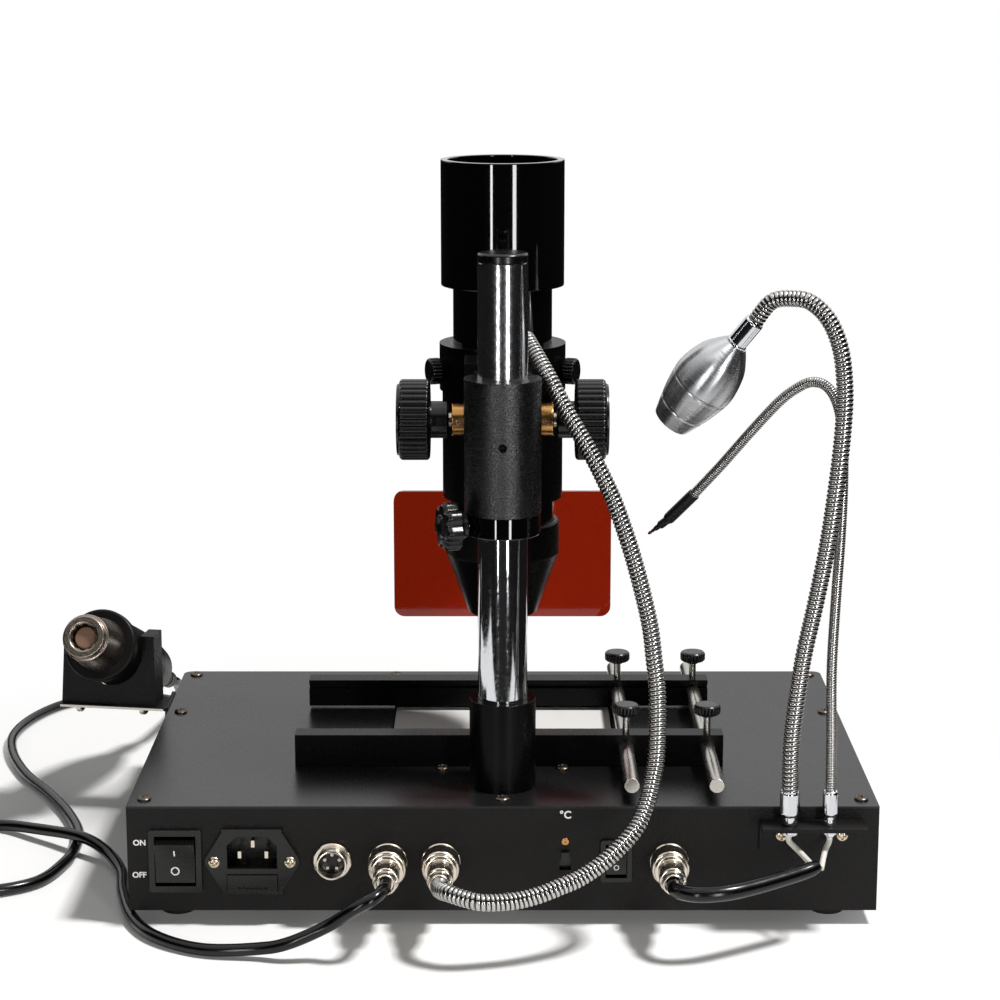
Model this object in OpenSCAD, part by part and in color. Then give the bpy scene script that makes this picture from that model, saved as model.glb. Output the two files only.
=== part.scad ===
// Infrared rework station for circuit boards, in millimetres.
// +X is right and +Y away when the socket panel faces the viewer, +Z is up.
// The table is at Z 0 and the origin lies under the middle of the base.

/* [Base] */
// Width of the base
base_w = 390; // [380:1:430]
// Depth of the base
base_d = 250; // [244:1:280]
// Height of the sheet-metal body
base_h = 57; // [55:1:70]
// Thickness of the sheet metal
sheet_t = 1.2; // [0.8:0.1:1.6]
// Height of the rubber feet
foot_h = 8; // [6:0.5:14]
// Diameter of the rubber feet
foot_d = 20; // [14:1:26]
// Distance of a foot's middle from the base's sides
foot_inset = 23; // [18:1:30]
// Radius of the cover's far corners
cover_r = 5; // [2:0.5:8]

/* [Board holder] */
// Width of the heating plate
plate_w = 124; // [100:1:126]
// Depth of the heating plate
plate_d = 104; // [90:1:106]
// Length of a rail
rail_len = 232; // [200:1:240]
// Depth of a rail's section
rail_d = 12; // [11:0.5:14]
// Height of a rail's section
rail_h = 17.5; // [16:0.5:22]
// Clear distance between the two rails
board_w = 93; // [70:1:105]
// Diameter of the guide rods
rod_d = 8; // [6:0.5:9]
// Length of the guide rods
rod_len = 220; // [200:1:230]
// Distance between the guide rods
rod_pitch = 44; // [30:1:50]
// Diameter of a thumb screw's head
thumb_d = 14.5; // [12:0.5:18]

/* [Column] */
// Diameter of the column tube
column_d = 26; // [22:0.5:28]
// Height of the column tube above the cover
column_h = 278; // [260:1:320]
// Distance of the column's axis from the socket panel
column_in = 36; // [34:1:37]
// Diameter of the foot collar
collar_d = 35; // [34:0.5:42]
// Height of the foot collar above the cover
collar_h = 48; // [30:1:60]

/* [Lamp arm] */
// Height of the stop ring's underside above the cover
arm_h = 137; // [125:1:145]
// Distance of the lamp's axis from the column's axis
reach = 89; // [88:0.5:96]
// Diameter of the column sleeve
sleeve_d = 40; // [38:0.5:42]
// Height of the column sleeve
sleeve_h = 70; // [66:1:80]
// Width of the focus block
block_w = 40; // [38:0.5:46]
// Diameter of the focus knobs
knob_d = 43; // [34:1:46]
// Width of one focus knob
knob_w = 17.5; // [12:0.5:22]
// Number of teeth on the pinion
pinion_teeth = 12; // [12:1:13]

/* [Lamp] */
// Diameter of the lamp barrel
barrel_d = 54; // [50:0.5:55]
// Diameter of the open shroud on top
shroud_d = 67; // [65:0.5:72]
// Height of the open shroud
shroud_h = 68; // [50:1:80]
// Diameter of the hood
hood_d = 63; // [62:0.5:66]
// Diameter of the hood's lower mouth
mouth_d = 38; // [30:1:46]
// Width of the eye shield
shield_w = 125; // [90:1:130]
// Height of the eye shield
shield_h = 74; // [60:1:76]
// Thickness of the eye shield
shield_t = 3; // [2:0.5:5]

/* [Necks] */
// Diameter of the light's neck
light_neck_d = 8.8; // [7:0.2:9]
// Diameter of the probe's neck
probe_neck_d = 5.8; // [4.6:0.2:6.2]
// Greatest diameter of the light's head
head_d = 34.5; // [30:0.5:38]

/* [Hot-air handle] */
// Slope of the handle in its cradle, in degrees
tool_slope = 24; // [20:1:26]
// Diameter of the handle
handle_d = 38; // [34:1:40]
// Diameter of the nozzle's collar
nozzle_d = 27; // [24:1:30]
// Diameter of the handle's cord
cord_d = 6.5; // [5:0.5:7]
// Diameter of the lamp's metal hose
hose_d = 9; // [8:0.5:10]

/* [Fits] */
// Radial clearance of a shaft in its hole
run_gap = 0.05; // [0.02:0.01:0.1]
// Clearance between pieces that pass each other
side_gap = 0.3; // [0.2:0.05:0.5]

/* [Hidden] */
$fn = 48;
// Small overlap that makes a cut run past a face
cut = 1;

// Levels of the base
top_z = foot_h + base_h;
under_z = top_z - sheet_t;
floor_z = foot_h + sheet_t;
panel_y = -base_d / 2;
front_y = base_d / 2;
left_x = -base_w / 2;
right_x = base_w / 2;
flange_d = 14;

// Cover screws
screw_r = 1.5;
screw_head_r = 3.1;
screw_head_h = 2;
screw_len = 5;
edge_in = 8;
row_in = 11;
side_row_y = 40;
heater_screw_x = 32.5;
heater_screw_y = 63.3;
COVER_SPOTS = [
    [left_x + edge_in, panel_y + row_in], [0, panel_y + row_in], [right_x - edge_in, panel_y + row_in],
    [left_x + edge_in, front_y - edge_in], [-65, front_y - edge_in], [right_x - edge_in, front_y - edge_in]
];
SIDE_SPOTS = [[left_x + edge_in, side_row_y], [right_x - edge_in, side_row_y]];
HEATER_SPOTS = [for (x = [-1, 1]) for (y = [-1, 1]) [x * heater_screw_x, y * heater_screw_y]];

// Heating plate in its tray
plate_t = 4;
plate_sink = 0.5;
plate_gap = 1;
tray_h = 26;
tray_wall = 1.2;
tray_w = plate_w + 2 * plate_gap + 2 * tray_wall;
tray_d = plate_d + 2 * plate_gap + 2 * tray_wall;
tab_w = 90;
tab_d = 2 * heater_screw_y + 10;
post_r = 3;
bar_w = 16;
bar_h = 9;
bar_count = 4;
bar_len = 100;

// Row of sockets and switches on the panel, from its left and right ends
row_z = foot_h + 27.5;
power_x = left_x + 25;
inlet_x = left_x + 65;
iron_x = left_x + 106.5;
tool_x = left_x + 135.5;
lamp_x = left_x + 163;
unit_x = right_x - 162.5;
light_x = right_x - 136;
sensor_x = right_x - 108.5;
bracket_x = right_x - 35;
SOCKETS = [iron_x, tool_x, lamp_x, sensor_x];
PLUGGED = [tool_x, lamp_x, sensor_x];

// Rocker switches, as [bezel width, bezel height, rocker width, rocker height]
POWER = [27.5, 34, 20.5, 24];
LIGHT = [16.5, 23, 10.5, 15];
bezel_t = 2;
bezel_lip = 1.6;
housing_depth = 18;
well_depth = 12;
well_more = 3;
rocker_angle = 20;
rocker_front = bezel_t + 0.4;
rocker_back = 3;
rocker_edge = 1.5;

// Slide switch and trimmer
slot_w = 6;
slot_h = 10.7;
slider_w = 4.4;
slider_h = 5;
slider_base_w = 8;
slider_base_h = 7;
slider_base_t = 1.6;
slider_out = 2.5;
unit_body = [13, 16.4, 7];
slider_up = (slot_h - slider_h) / 2 - side_gap;
trimmer_r = 2;
trimmer_up = 10.4;

// Mains inlet
inlet_w = 31;
inlet_h = 35.5;
inlet_t = 2.5;
inlet_body_d = 18;
inlet_lip = 1.5;
ear_x = 19.7;
ear_r = 4.8;
mouth_w = 26;
mouth_h = 17.5;
mouth_up = 5;
mouth_cut = 5;
mouth_depth = 16;
blade = [2, 4, 11];
blade_x = 7;
blade_drop = 3;
drawer = [26, 9, 15];
drawer_down = 11.5;
drawer_face = 1;
drawer_grip = 0.8;

// Round sockets and their plugs
shell_r = 8;
shell_bore_r = 6.8;
shell_out = 8;
shell_in = 10;
nut_r = 10;
nut_t = 2.5;
insert_t = 5;
pin_r = 0.9;
pin_len = 3;
pin_circle_r = 4;
pin_count = 5;
plug_ring_r = 9.8;
plug_ring_bore = shell_r + 0.15;
plug_start = nut_t + side_gap;
plug_floor = shell_out + side_gap;
plug_ring_end = 14;
plug_neck_r = 8.6;
plug_neck_end = 17;
plug_body_r = 6.8;
plug_body_end = 30;
plug_tail_r = 5.5;
plug_len = 36;
tail_y = panel_y - plug_len;

// Bracket of the two necks
bracket_w = 54;
bracket_h = 16;
bracket_t = 2;
shelf_d = 16;
shelf_up = 22.5;
shelf_z = row_z + shelf_up;
bracket_screw_x = 15.7;
neck_y = panel_y - 8;
light_neck_off = 12.5;
light_neck_x = bracket_x - light_neck_off;
probe_neck_off = 8.3;
probe_neck_x = bracket_x + probe_neck_off;
stub_len = 6;
ferrule_h = 16;
light_stub_r = 3;
probe_stub_r = 2.4;
light_ferrule_r = 5.2;
probe_ferrule_r = 4.1;
neck_nut_h = 2.6;
foot_collar_h = 2.5;

// Board holder
rail_x = 3.5;
near_rail_y = -54;
far_rail_y = near_rail_y + board_w + rail_d;
rail_right = rail_x + rail_len / 2;
rod_end_in = 8.5;
ROD_X = [rail_right - rod_end_in - rod_pitch, rail_right - rod_end_in];
rod_z = top_z + 10;
rod_back_y = panel_y + 3;
groove_h = 2.4;
groove_d = 3;
groove_lip = 2.6;
stem_r = 2;
thumb_h = 8.5;
thumb_up = 7.5;
thumb_flutes = 20;
rail_top = top_z + side_gap + rail_h;

// Column
column_y = panel_y + column_in;
lamp_y = column_y + reach;
column_wall = 2;
column_r = column_d / 2;
column_bottom = under_z - 3;
column_top = top_z + column_h;
cap_h = 5;
cap_plug_h = 10;
foot_plate_w = 60;
foot_plate_t = 6;
foot_plate_near = panel_y + flange_d + side_gap;
foot_plate_far = -tab_d / 2 - side_gap;

// Stop ring, sleeve and clamp knob
stop_z = top_z + arm_h;
stop_h = 11;
stop_r = sleeve_d / 2 - 0.5;
sleeve_z = stop_z + stop_h + side_gap;
pad_w = 30;
block_back = column_y + sleeve_d / 2 + 3;
stud_r = 3;
clamp_angle = 200;
star_r = 14;
star_depth = 1.6;
star_lobes = 7;
star_h = 12;
hub_r = 8;
hub_start = stop_r + 0.8;
star_start = hub_start + 4;
grub_r = 2.2;
grub_up = 37;

// Focus block, slide, rack and pinion
block_z = stop_z + 1;
block_h = sleeve_h + stop_h - 2;
block_front = lamp_y - 37;
block_cut = 6;
shoulder_h = 5;
tooth_m = 1;
pinion_r = tooth_m * pinion_teeth / 2;
pinion_w = 9;
pitch_y = lamp_y - 44;
pinion_y = pitch_y - pinion_r;
pinion_z = block_z + 51.5;
tooth_up = 0.8 * tooth_m;
tooth_down = 1.1 * tooth_m;
tooth_slack = 0.3;
tooth_lean = tan(20);
tooth_pitch = PI * tooth_m;
shaft_r = 4;
bush_r = 7;
bush_flange_r = 8.75;
bush_flange_t = 7;
bush_in = 7.5;
tail_half = 12;
mouth_half = 9.2;
slide_back = lamp_y - 45.5;
slide_face = lamp_y - 31;
slide_gap = 0.15;
slide_h = block_h;
slide_z = block_z + 2;
knob_collar_r = 9.8;
knob_collar_w = 10;
knob_start = block_w / 2 + bush_flange_t + 1.5;
knob_face = knob_start + knob_collar_w;
knob_end = knob_face + knob_w;
knob_flutes = 36;
knob_flute_depth = 0.9;
knob_disc_r = knob_d / 2 - 2.5;
knob_disc_t = 1.5;

// Lamp
lamp_z = block_z;
bore_gap = 0.1;
barrel_r = barrel_d / 2;
barrel_wall = 2.5;
holder_h = 60;
ring_h = 25.5;
holder_r = 33;
ring_r = 34.5;
ring_top = lamp_z + holder_h + ring_h;
shroud_z = ring_top + 31.5;
shroud_wall = 4;
shroud_floor = 6;
barrel_top = shroud_z + 20;
waist_r = barrel_r + 1.4;
hood_wall = 2.5;
hood_top = lamp_z - 13;
hood_band = 19;
hood_z = hood_top - hood_band;
cone_h = 34;
cone_z = hood_z - cone_h;
waist_z = hood_top - 12;
gland_r = 6.5;
gland_out = 37;
gland_angle = -75;
gland_z = ring_top + 8.5;
ring_screw_z = lamp_z + 71.5;
ring_screw_angle = 20;
ring_screw_head = 36;
ring_screw_head_r = 7.2;
ring_screw_head_h = 7;
lampholder_z = lamp_z + 95;
lampholder_h = 14;
bulb_r = 19;
bulb_neck_r = 9;
bulb_h = 62;

// Eye shield
shield_y = lamp_y + 46;
shield_z = cone_z - 16;
shield_r = 6;
shield_strap_w = 24;
shield_strap_t = 2;
shield_strap_h = 31;
shield_screw_x = 7;
shield_screw_drop = 9;
shield_screw_r = 2;

// Hidden control side
DIAL_X = [-100, 0, 100];
dial_z = foot_h + 17;
dial_r = 10;
dial_h = 13;
dial_shaft_r = 3;
dial_shaft_in = 8;
dial_flutes = 18;
window = [44, 17, 1.5];
window_lip = 2;
window_z = foot_h + 42;
pot_r = 8;
pot_h = 10;

// Control board inside the base
board = [84, 150, 1.6];
board_x = left_x + 62;
post_h = 6;
transformer = [48, 42, 30];
sink = [60, 24, 24];
sink_fins = 5;

// Vent slots in the cover's skirts
vent_count = 12;
vent_pitch = 9;
vent_w = 2.5;
vent_h = 22;

// Cradle at the left side and the hot-air handle in it
cradle_y = 53;
cradle_t = 2;
cradle_w = 57;
cradle_d = 16;
cradle_h = 42;
cradle_taper = 3;
cradle_x = left_x - 36;
shelf_top = top_z + 1;
shelf_more = 3;
side_h = 28;
side_d = 34;
side_y = cradle_y - 8;
SIDE_HOLES = [8, side_d - 8];
tool_turn = 9;
tool_mid = [cradle_x + 1.5, cradle_y, shelf_top + 33];
handle_r = handle_d / 2;
saddle_r = handle_r + 0.5;
slot_half = handle_r + side_gap;
flange_r = handle_r + 2;
flange_t = 7;
flange_fore = 19;
nozzle_r = nozzle_d / 2;
nozzle_len = 31;
nozzle_lip = 1.3;
nozzle_foot_r = nozzle_r + 2;
nozzle_bore_r = 7.3;
core_r = 6.4;
handle_len = 92;
tail_len = 26;
boot_len = 22;
boot_r = cord_d / 2 + 2;
tool_end = flange_t + handle_len + tail_len + boot_len;

// Directions
TOOL_BACK = [sin(tool_turn) * cos(tool_slope), cos(tool_turn) * cos(tool_slope), -sin(tool_slope)];
tool_flange = tool_mid - flange_fore * TOOL_BACK;
tool_tail = tool_flange + tool_end * TOOL_BACK;
GLAND_OUT = [cos(gland_angle), sin(gland_angle), 0];
gland_tip = gland_out * GLAND_OUT + [0, lamp_y, gland_z];

// Routes of the cords, the hose and the necks, from the corner or socket they start at
corner_l = [left_x, panel_y, 0];
table_z = cord_d / 2 + 0.35;
over_z = 1.5 * cord_d + 0.6;
TOOL_ROUTE = concat(
    [[tool_x, tail_y, row_z], [tool_x - 1, tail_y - 9, row_z + 0.5]],
    [for (p = [
        [130, -52, 34.2], [120.5, -53, 29.2], [107, -50, 19.2], [88, -50, 10.4], [72.5, -46.5, 5.9],
        [43, -42, table_z],
        [17, -25, table_z], [1, 2, table_z], [-9, 38, table_z], [-14, 66, 4.5], [-25, 88, 7.5],
        [-41, 104, over_z], [-66, 124, 7.5], [-96, 143, table_z], [-128, 138, table_z],
        [-148, 108, table_z], [-144, 68, table_z], [-118, 42, table_z], [-87, 37, table_z],
        [-59, 51, table_z], [-48, 81, table_z], [-46, 109, table_z], [-49, 134, table_z],
        [-61, 167, table_z], [-78, 201, table_z], [-98, 236, table_z], [-114, 278, table_z],
        [-120, 315, table_z], [-114, 352, table_z], [-98, 383, table_z], [-72, 399, table_z],
        [-44, 396, 4.5], [-22, 378, 8]
    ]) corner_l + p],
    [for (d = [22, side_gap]) tool_tail + d * TOOL_BACK]
);
HOSE_ROUTE = concat(
    [[lamp_x, tail_y, row_z]],
    [for (p = [
        [0.5, -9, 1], [5, -17, 2.5], [12, -22, 2], [20.5, -25, 1], [30.5, -24, 0.5], [40.5, -22, 1],
        [50.5, -20, 3],
        [60.5, -17, 6], [70.5, -13, 9], [83, -8, 16], [95, -1, 25.5], [101.5, 5, 33], [105.5, 11, 41.5],
        [108, 16, 50.5], [110, 21, 59.5], [111, 28, 76], [111, 35, 92.5], [109.5, 40, 107], [107, 47, 126],
        [99.5, 56, 155.5], [91, 63, 180.5], [84.5, 68, 195], [76, 73, 211], [65, 80, 229], [55, 90, 247],
        [46, 107, 260.5]
    ]) [lamp_x, tail_y, row_z] + p],
    [for (d = [9, side_gap]) gland_tip + d * GLAND_OUT]
);
SENSOR_STEPS = [
    [1, -8, 0.5], [6, -15, 1.5], [14, -18, 2], [27, -16, 2.5], [41, -9, 3], [55, -1, 4], [66, 5.5, 5],
    [74, 10, 6.5]
];
SENSOR_ROUTE = concat(
    [[sensor_x, tail_y, row_z]], [for (p = SENSOR_STEPS) [sensor_x, tail_y, row_z] + p]
);
split_pt = SENSOR_ROUTE[len(SENSOR_ROUTE) - 1];
light_foot = [light_neck_x, neck_y, shelf_z];
probe_foot = [probe_neck_x, neck_y, shelf_z];
LIGHT_ROUTE = [for (p = [
    [0, 0, 14], [0, 0.5, 34], [1, 2, 53], [5.5, 6, 86], [12, 10, 116.5], [18, 15, 147], [23, 21, 182],
    [25.5, 26, 206.5], [26, 30, 224], [24, 34, 241.5], [18.5, 38.5, 255.5], [10, 44, 264], [2, 49, 265.5],
    [-9, 54.5, 263.5], [-16.8, 58.9, 253]
]) light_foot + p];
PROBE_ROUTE = [for (p = [
    [0, 0, 13], [0, 3, 44.5], [0.2, 11, 79.5], [2.5, 20, 114], [5, 28, 144], [6.5, 35, 174], [6, 40, 199],
    [3, 44, 213.5], [-2, 49, 220.5], [-8.5, 54, 221.5], [-15, 58, 218], [-24, 64, 209.5], [-38, 74, 191],
    [-52.5, 85, 170.5], [-66.5, 97, 151.5]
]) probe_foot + p];
light_tip = LIGHT_ROUTE[len(LIGHT_ROUTE) - 1];
light_aim = light_tip + [-41.5, 24, -57.5];
probe_tip = PROBE_ROUTE[len(PROBE_ROUTE) - 1];
probe_bend = probe_tip + [-12, 10, -15];
probe_aim = probe_bend + [-10, 7, -9.5];
ferrule_len = 17;
head_len = 74;
probe_sleeve_r = 3.4;
probe_tail_r = 1.5;
sensor_d = 8;
neck_sides = 10;
cord_sides = 10;
lead_r = 1.5;
lead_sides = 8;

// Unit vector of v
function unit(v) = v / norm(v);

// Point at t between knots i and i + 1 of the smooth curve through the knots p
function route_pt(p, i, t) =
    let (a = p[max(i - 1, 0)], b = p[i], c = p[i + 1], d = p[min(i + 2, len(p) - 1)])
    0.5 * (2 * b + (c - a) * t + (2 * a - 5 * b + 4 * c - d) * t * t + (3 * b - a - 3 * c + d) * t * t * t);

// Points about step apart along the smooth curve through the knots p
function route(p, step) = [
    for (i = [0:len(p) - 2])
        let (n = max(1, round(norm(p[i + 1] - p[i]) / step)))
        for (k = [0:n - 1]) route_pt(p, i, k / n),
    p[len(p) - 1]
];

// Direction of the path q at its point i
function heading(q, i) = unit(q[min(i + 1, len(q) - 1)] - q[max(i - 1, 0)]);

// Part of u that is square to the direction t, as a unit vector
function square_to(u, t) = unit(u - t * (u * t));

// Side vectors carried along the path q without twist
function sides(q) = [
    for (
        i = 0, u = square_to([0.31, 0.57, 0.76], heading(q, 0));
        i < len(q);
        u = square_to(u, heading(q, min(i + 1, len(q) - 1))), i = i + 1
    ) u
];

// Round tube of radius r with n sides along the knots p
module sweep(p, r, n, step) {
    q = route(p, step);
    u = sides(q);
    last = (len(q) - 1) * n;
    pts = [
        for (i = [0:len(q) - 1])
            let (v = cross(heading(q, i), u[i]))
            for (j = [0:n - 1]) q[i] + r * (cos(360 * j / n) * u[i] + sin(360 * j / n) * v)
    ];
    quads = [
        for (i = [0:len(q) - 2])
            for (j = [0:n - 1])
                let (a = i * n + j, b = i * n + (j + 1) % n)
                each [[a, a + n, b + n], [a, b + n, b]]
    ];
    caps = [[for (j = [0:n - 1]) j], [for (j = [0:n - 1]) last + n - 1 - j]];
    polyhedron(pts, concat(quads, caps));
}

// Children with their +Z axis turned from point a towards point b
module aim(a, b) {
    d = b - a;
    translate(a)
        rotate([0, acos(d[2] / norm(d)), atan2(d[1], d[0])])
            children();
}

// Children on the socket panel: local Y is up and local Z points out of the panel
module on_panel(x, z) {
    translate([x, panel_y, z])
        rotate([90, 0, 0])
            children();
}

// Children on the control side: local Z points out of it
module on_front(x, z) {
    translate([x, front_y, z])
        rotate([-90, 0, 0])
            children();
}

// Children with their +Z axis along the radius at the angle a round the axis at y
module radial(y, z, a) {
    translate([0, y, z])
        rotate([0, 90, a])
            children();
}

// Box of size s, centred in X and Y and standing on Z 0
module block(s) {
    translate([-s[0] / 2, -s[1] / 2, 0])
        cube(s);
}

// Rectangle with round corners
module round_rect(w, h, r) {
    square([w - 2 * r, h], center = true);
    square([w, h - 2 * r], center = true);
    for (x = [-1, 1])
        for (y = [-1, 1])
            translate([x * (w / 2 - r), y * (h / 2 - r)])
                circle(r);
}

// Disc outline of radius r with n waves of depth d
module wavy(r, d, n, per) {
    polygon([
        for (i = [0:n * per - 1])
            let (a = 360 * i / (n * per), k = r - d / 2 + d / 2 * cos(360 * i / per))
            [k * cos(a), k * sin(a)]
    ]);
}

// Domed screw with its head's seat at Z 0
module dome_screw(head_r, head_h, shank_r, shank_len) {
    rotate_extrude()
        polygon([
            [0, -shank_len], [shank_r, -shank_len], [shank_r, 0], [head_r, 0], [head_r, head_h * 0.3],
            [head_r * 0.85, head_h * 0.7], [head_r * 0.5, head_h * 0.95], [0, head_h]
        ]);
}

// Fluted hand screw: stem from Z 0 down, head from Z up
module hand_screw(stem_len, up, head_r, head_h) {
    translate([0, 0, -stem_len])
        cylinder(r = stem_r, h = stem_len + up);
    translate([0, 0, up])
        linear_extrude(head_h)
            wavy(head_r, 0.8, thumb_flutes, 4);
    translate([0, 0, up - 1.2])
        cylinder(r = head_r * 0.6, h = 1.2 + cut);
}

// Plan of the base with its far corners rounded
module base_plan(inset) {
    w = base_w - 2 * inset;
    r = cover_r;
    translate([-w / 2, panel_y + inset])
        square([w, base_d - 2 * inset - r]);
    translate([-w / 2 + r, 0])
        square([w - 2 * r, front_y - inset]);
    for (s = [-1, 1])
        translate([s * (w / 2 - r), front_y - inset - r])
            circle(r);
}

// Opening in the panel for a rocker housing
module rocker_hole(x, s) {
    on_panel(x, row_z)
        translate([0, 0, -sheet_t - cut])
            block([s[0] - 2 * bezel_lip + 2 * run_gap, s[1] - 2 * bezel_lip + 2 * run_gap, sheet_t + 2 * cut]);
}

// Tray: floor, socket panel, control panel and the flanges under the cover
module base_tray() {
    color("#24211f")
        difference() {
            intersection() {
                union() {
                    translate([left_x, panel_y, foot_h])
                        cube([base_w, base_d, sheet_t]);
                    for (y = [panel_y, front_y - sheet_t])
                        translate([left_x, y, foot_h])
                            cube([base_w, sheet_t, base_h - sheet_t]);
                    for (y = [panel_y, front_y - flange_d])
                        translate([left_x + sheet_t + side_gap, y, under_z - sheet_t])
                            cube([base_w - 2 * (sheet_t + side_gap), flange_d, sheet_t]);
                }
                linear_extrude(top_z)
                    base_plan(0);
            }
            for (p = COVER_SPOTS)
                translate([p[0], p[1], under_z - sheet_t - cut])
                    cylinder(r = screw_r + side_gap, h = sheet_t + 2 * cut, $fn = 24);
            rocker_hole(power_x, POWER);
            rocker_hole(light_x, LIGHT);
            on_panel(inlet_x, row_z)
                translate([0, 0, -sheet_t - cut])
                    block([inlet_w - 2 * inlet_lip + 2 * run_gap, inlet_h - 2 * inlet_lip + 2 * run_gap,
                        sheet_t + 2 * cut]);
            for (x = SOCKETS)
                on_panel(x, row_z)
                    translate([0, 0, -sheet_t - cut])
                        cylinder(r = shell_r + run_gap, h = sheet_t + 2 * cut);
            on_panel(unit_x, row_z)
                translate([0, 0, -sheet_t - cut])
                    block([slot_w, slot_h, sheet_t + 2 * cut]);
            on_panel(unit_x, row_z + trimmer_up)
                translate([0, 0, -sheet_t - cut])
                    cylinder(r = trimmer_r + run_gap, h = sheet_t + 2 * cut, $fn = 24);
            for (x = DIAL_X) {
                on_front(x, dial_z)
                    translate([0, 0, -sheet_t - cut])
                        cylinder(r = dial_shaft_r + run_gap, h = sheet_t + 2 * cut);
                on_front(x, window_z)
                    translate([0, 0, -sheet_t - cut])
                        block([window[0] - 2 * window_lip, window[1] - 2 * window_lip, sheet_t + 2 * cut]);
            }
        }
}

// Cover: top plate with the heater's opening, and a skirt with vents on each side
module top_cover() {
    color("#3a3a3b")
        difference() {
            union() {
                translate([0, 0, under_z])
                    linear_extrude(sheet_t)
                        base_plan(0);
                for (x = [left_x, right_x - sheet_t])
                    translate([x, panel_y + sheet_t, floor_z])
                        cube([sheet_t, base_d - sheet_t - cover_r, under_z - floor_z + sheet_t / 2]);
            }
            translate([0, 0, under_z - cut])
                block([plate_w + 2 * plate_gap, plate_d + 2 * plate_gap, sheet_t + 2 * cut]);
            translate([0, column_y, under_z - cut])
                cylinder(r = collar_d / 2 + run_gap, h = sheet_t + 2 * cut);
            for (p = concat(COVER_SPOTS, SIDE_SPOTS, HEATER_SPOTS))
                translate([p[0], p[1], under_z - cut])
                    cylinder(r = screw_r + side_gap, h = sheet_t + 2 * cut, $fn = 24);
            for (x = [left_x, right_x])
                for (i = [0:vent_count - 1])
                    translate([x, (i - vent_count / 2) * vent_pitch - 30, foot_h + 14])
                        block([4 * sheet_t, vent_w, vent_h]);
        }
}

// Domed screws of the cover and of the heater tray
module cover_screws() {
    color("#4a4038")
        for (p = concat(COVER_SPOTS, SIDE_SPOTS, HEATER_SPOTS))
            translate([p[0], p[1], top_z])
                dome_screw(screw_head_r, screw_head_h, screw_r, screw_len, $fn = 24);
}

// Four rubber feet
module rubber_feet() {
    color("#161616")
        for (x = [-1, 1])
            for (y = [-1, 1])
                translate([x * (right_x - foot_inset), y * (front_y - foot_inset), 0])
                    difference() {
                        cylinder(r1 = foot_d / 2 - 1, r2 = foot_d / 2, h = foot_h);
                        translate([0, 0, -cut])
                            cylinder(r = 4, h = 3 + cut);
                    }
}

// Heating plate, a little below the cover's top
module heating_plate() {
    color("#d8d8d6")
        translate([0, 0, top_z - plate_sink - plate_t])
            block([plate_w, plate_d, plate_t]);
}

// Open tray that hangs under the cover and carries the plate on four posts
module heater_tray() {
    color("#9a9a98") {
        difference() {
            union() {
                translate([0, 0, under_z - tray_h])
                    block([tray_w, tray_d, tray_h]);
                translate([0, 0, under_z - tray_wall])
                    block([tab_w, tab_d, tray_wall]);
            }
            translate([0, 0, under_z - tray_h + tray_wall])
                block([tray_w - 2 * tray_wall, tray_d - 2 * tray_wall, tray_h]);
            for (p = HEATER_SPOTS)
                translate([p[0], p[1], under_z - tray_wall - cut])
                    cylinder(r = screw_r + side_gap, h = tray_wall + 2 * cut, $fn = 24);
        }
        for (x = [-1, 1])
            for (y = [-1, 1])
                translate([x * (plate_w / 2 - 2 * post_r), y * (plate_d / 2 - 2 * post_r), under_z - tray_h])
                    cylinder(r = post_r, h = tray_h + sheet_t - plate_sink - plate_t, $fn = 24);
    }
}

// Ceramic heater bars on the floor of the tray
module heater_bars() {
    pitch = (plate_d - 4 * post_r) / bar_count;
    color("#c9b8a4")
        for (i = [0:bar_count - 1])
            translate([0, (i - (bar_count - 1) / 2) * pitch, under_z - tray_h + tray_wall])
                block([bar_len, bar_w, bar_h]);
}

// Circuit board on posts with its transformer and heat sink, and the three dials' bodies
module control_board() {
    color("#2d5a3a") {
        translate([board_x, 0, floor_z]) {
            for (x = [-1, 1])
                for (y = [-1, 1])
                    translate([x * (board[0] / 2 - 6), y * (board[1] / 2 - 6), 0])
                        cylinder(r = 3, h = post_h, $fn = 24);
            translate([0, 0, post_h])
                block(board);
            translate([0, -45, post_h + board[2]])
                block(transformer);
            translate([0, 40, post_h + board[2]]) {
                block([sink[0], sink[1], 4]);
                for (i = [0:sink_fins - 1])
                    translate([0, (i - (sink_fins - 1) / 2) * sink[1] / sink_fins, 0])
                        block([sink[0], 1.6, sink[2]]);
            }
        }
        for (x = DIAL_X)
            on_front(x, dial_z)
                difference() {
                    translate([0, 0, -sheet_t - pot_h])
                        cylinder(r = pot_r, h = pot_h);
                    translate([0, 0, -sheet_t - pot_h + 1])
                        cylinder(r = dial_shaft_r + run_gap, h = pot_h);
                }
    }
}

// Tinted windows of the three displays
module display_windows() {
    color("#401010")
        for (x = DIAL_X)
            on_front(x, window_z) {
                block(window);
                translate([0, 0, -sheet_t])
                    block([window[0] - 2 * window_lip - 2 * side_gap, window[1] - 2 * window_lip - 2 * side_gap,
                        sheet_t + window[2] / 2]);
            }
}

// Turning dial on the control side
module dial(x) {
    color("#1a1a1a")
        on_front(x, dial_z)
            difference() {
                union() {
                    translate([0, 0, -dial_shaft_in])
                        cylinder(r = dial_shaft_r, h = dial_shaft_in + cut);
                    translate([0, 0, side_gap])
                        linear_extrude(dial_h)
                            wavy(dial_r, 0.8, dial_flutes, 4);
                }
                translate([0, -dial_r + 3, side_gap + dial_h - 0.6])
                    block([1, 6, 1]);
            }
}

module dial_left() {
    dial(DIAL_X[0]);
}

module dial_middle() {
    dial(DIAL_X[1]);
}

module dial_right() {
    dial(DIAL_X[2]);
}

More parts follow.
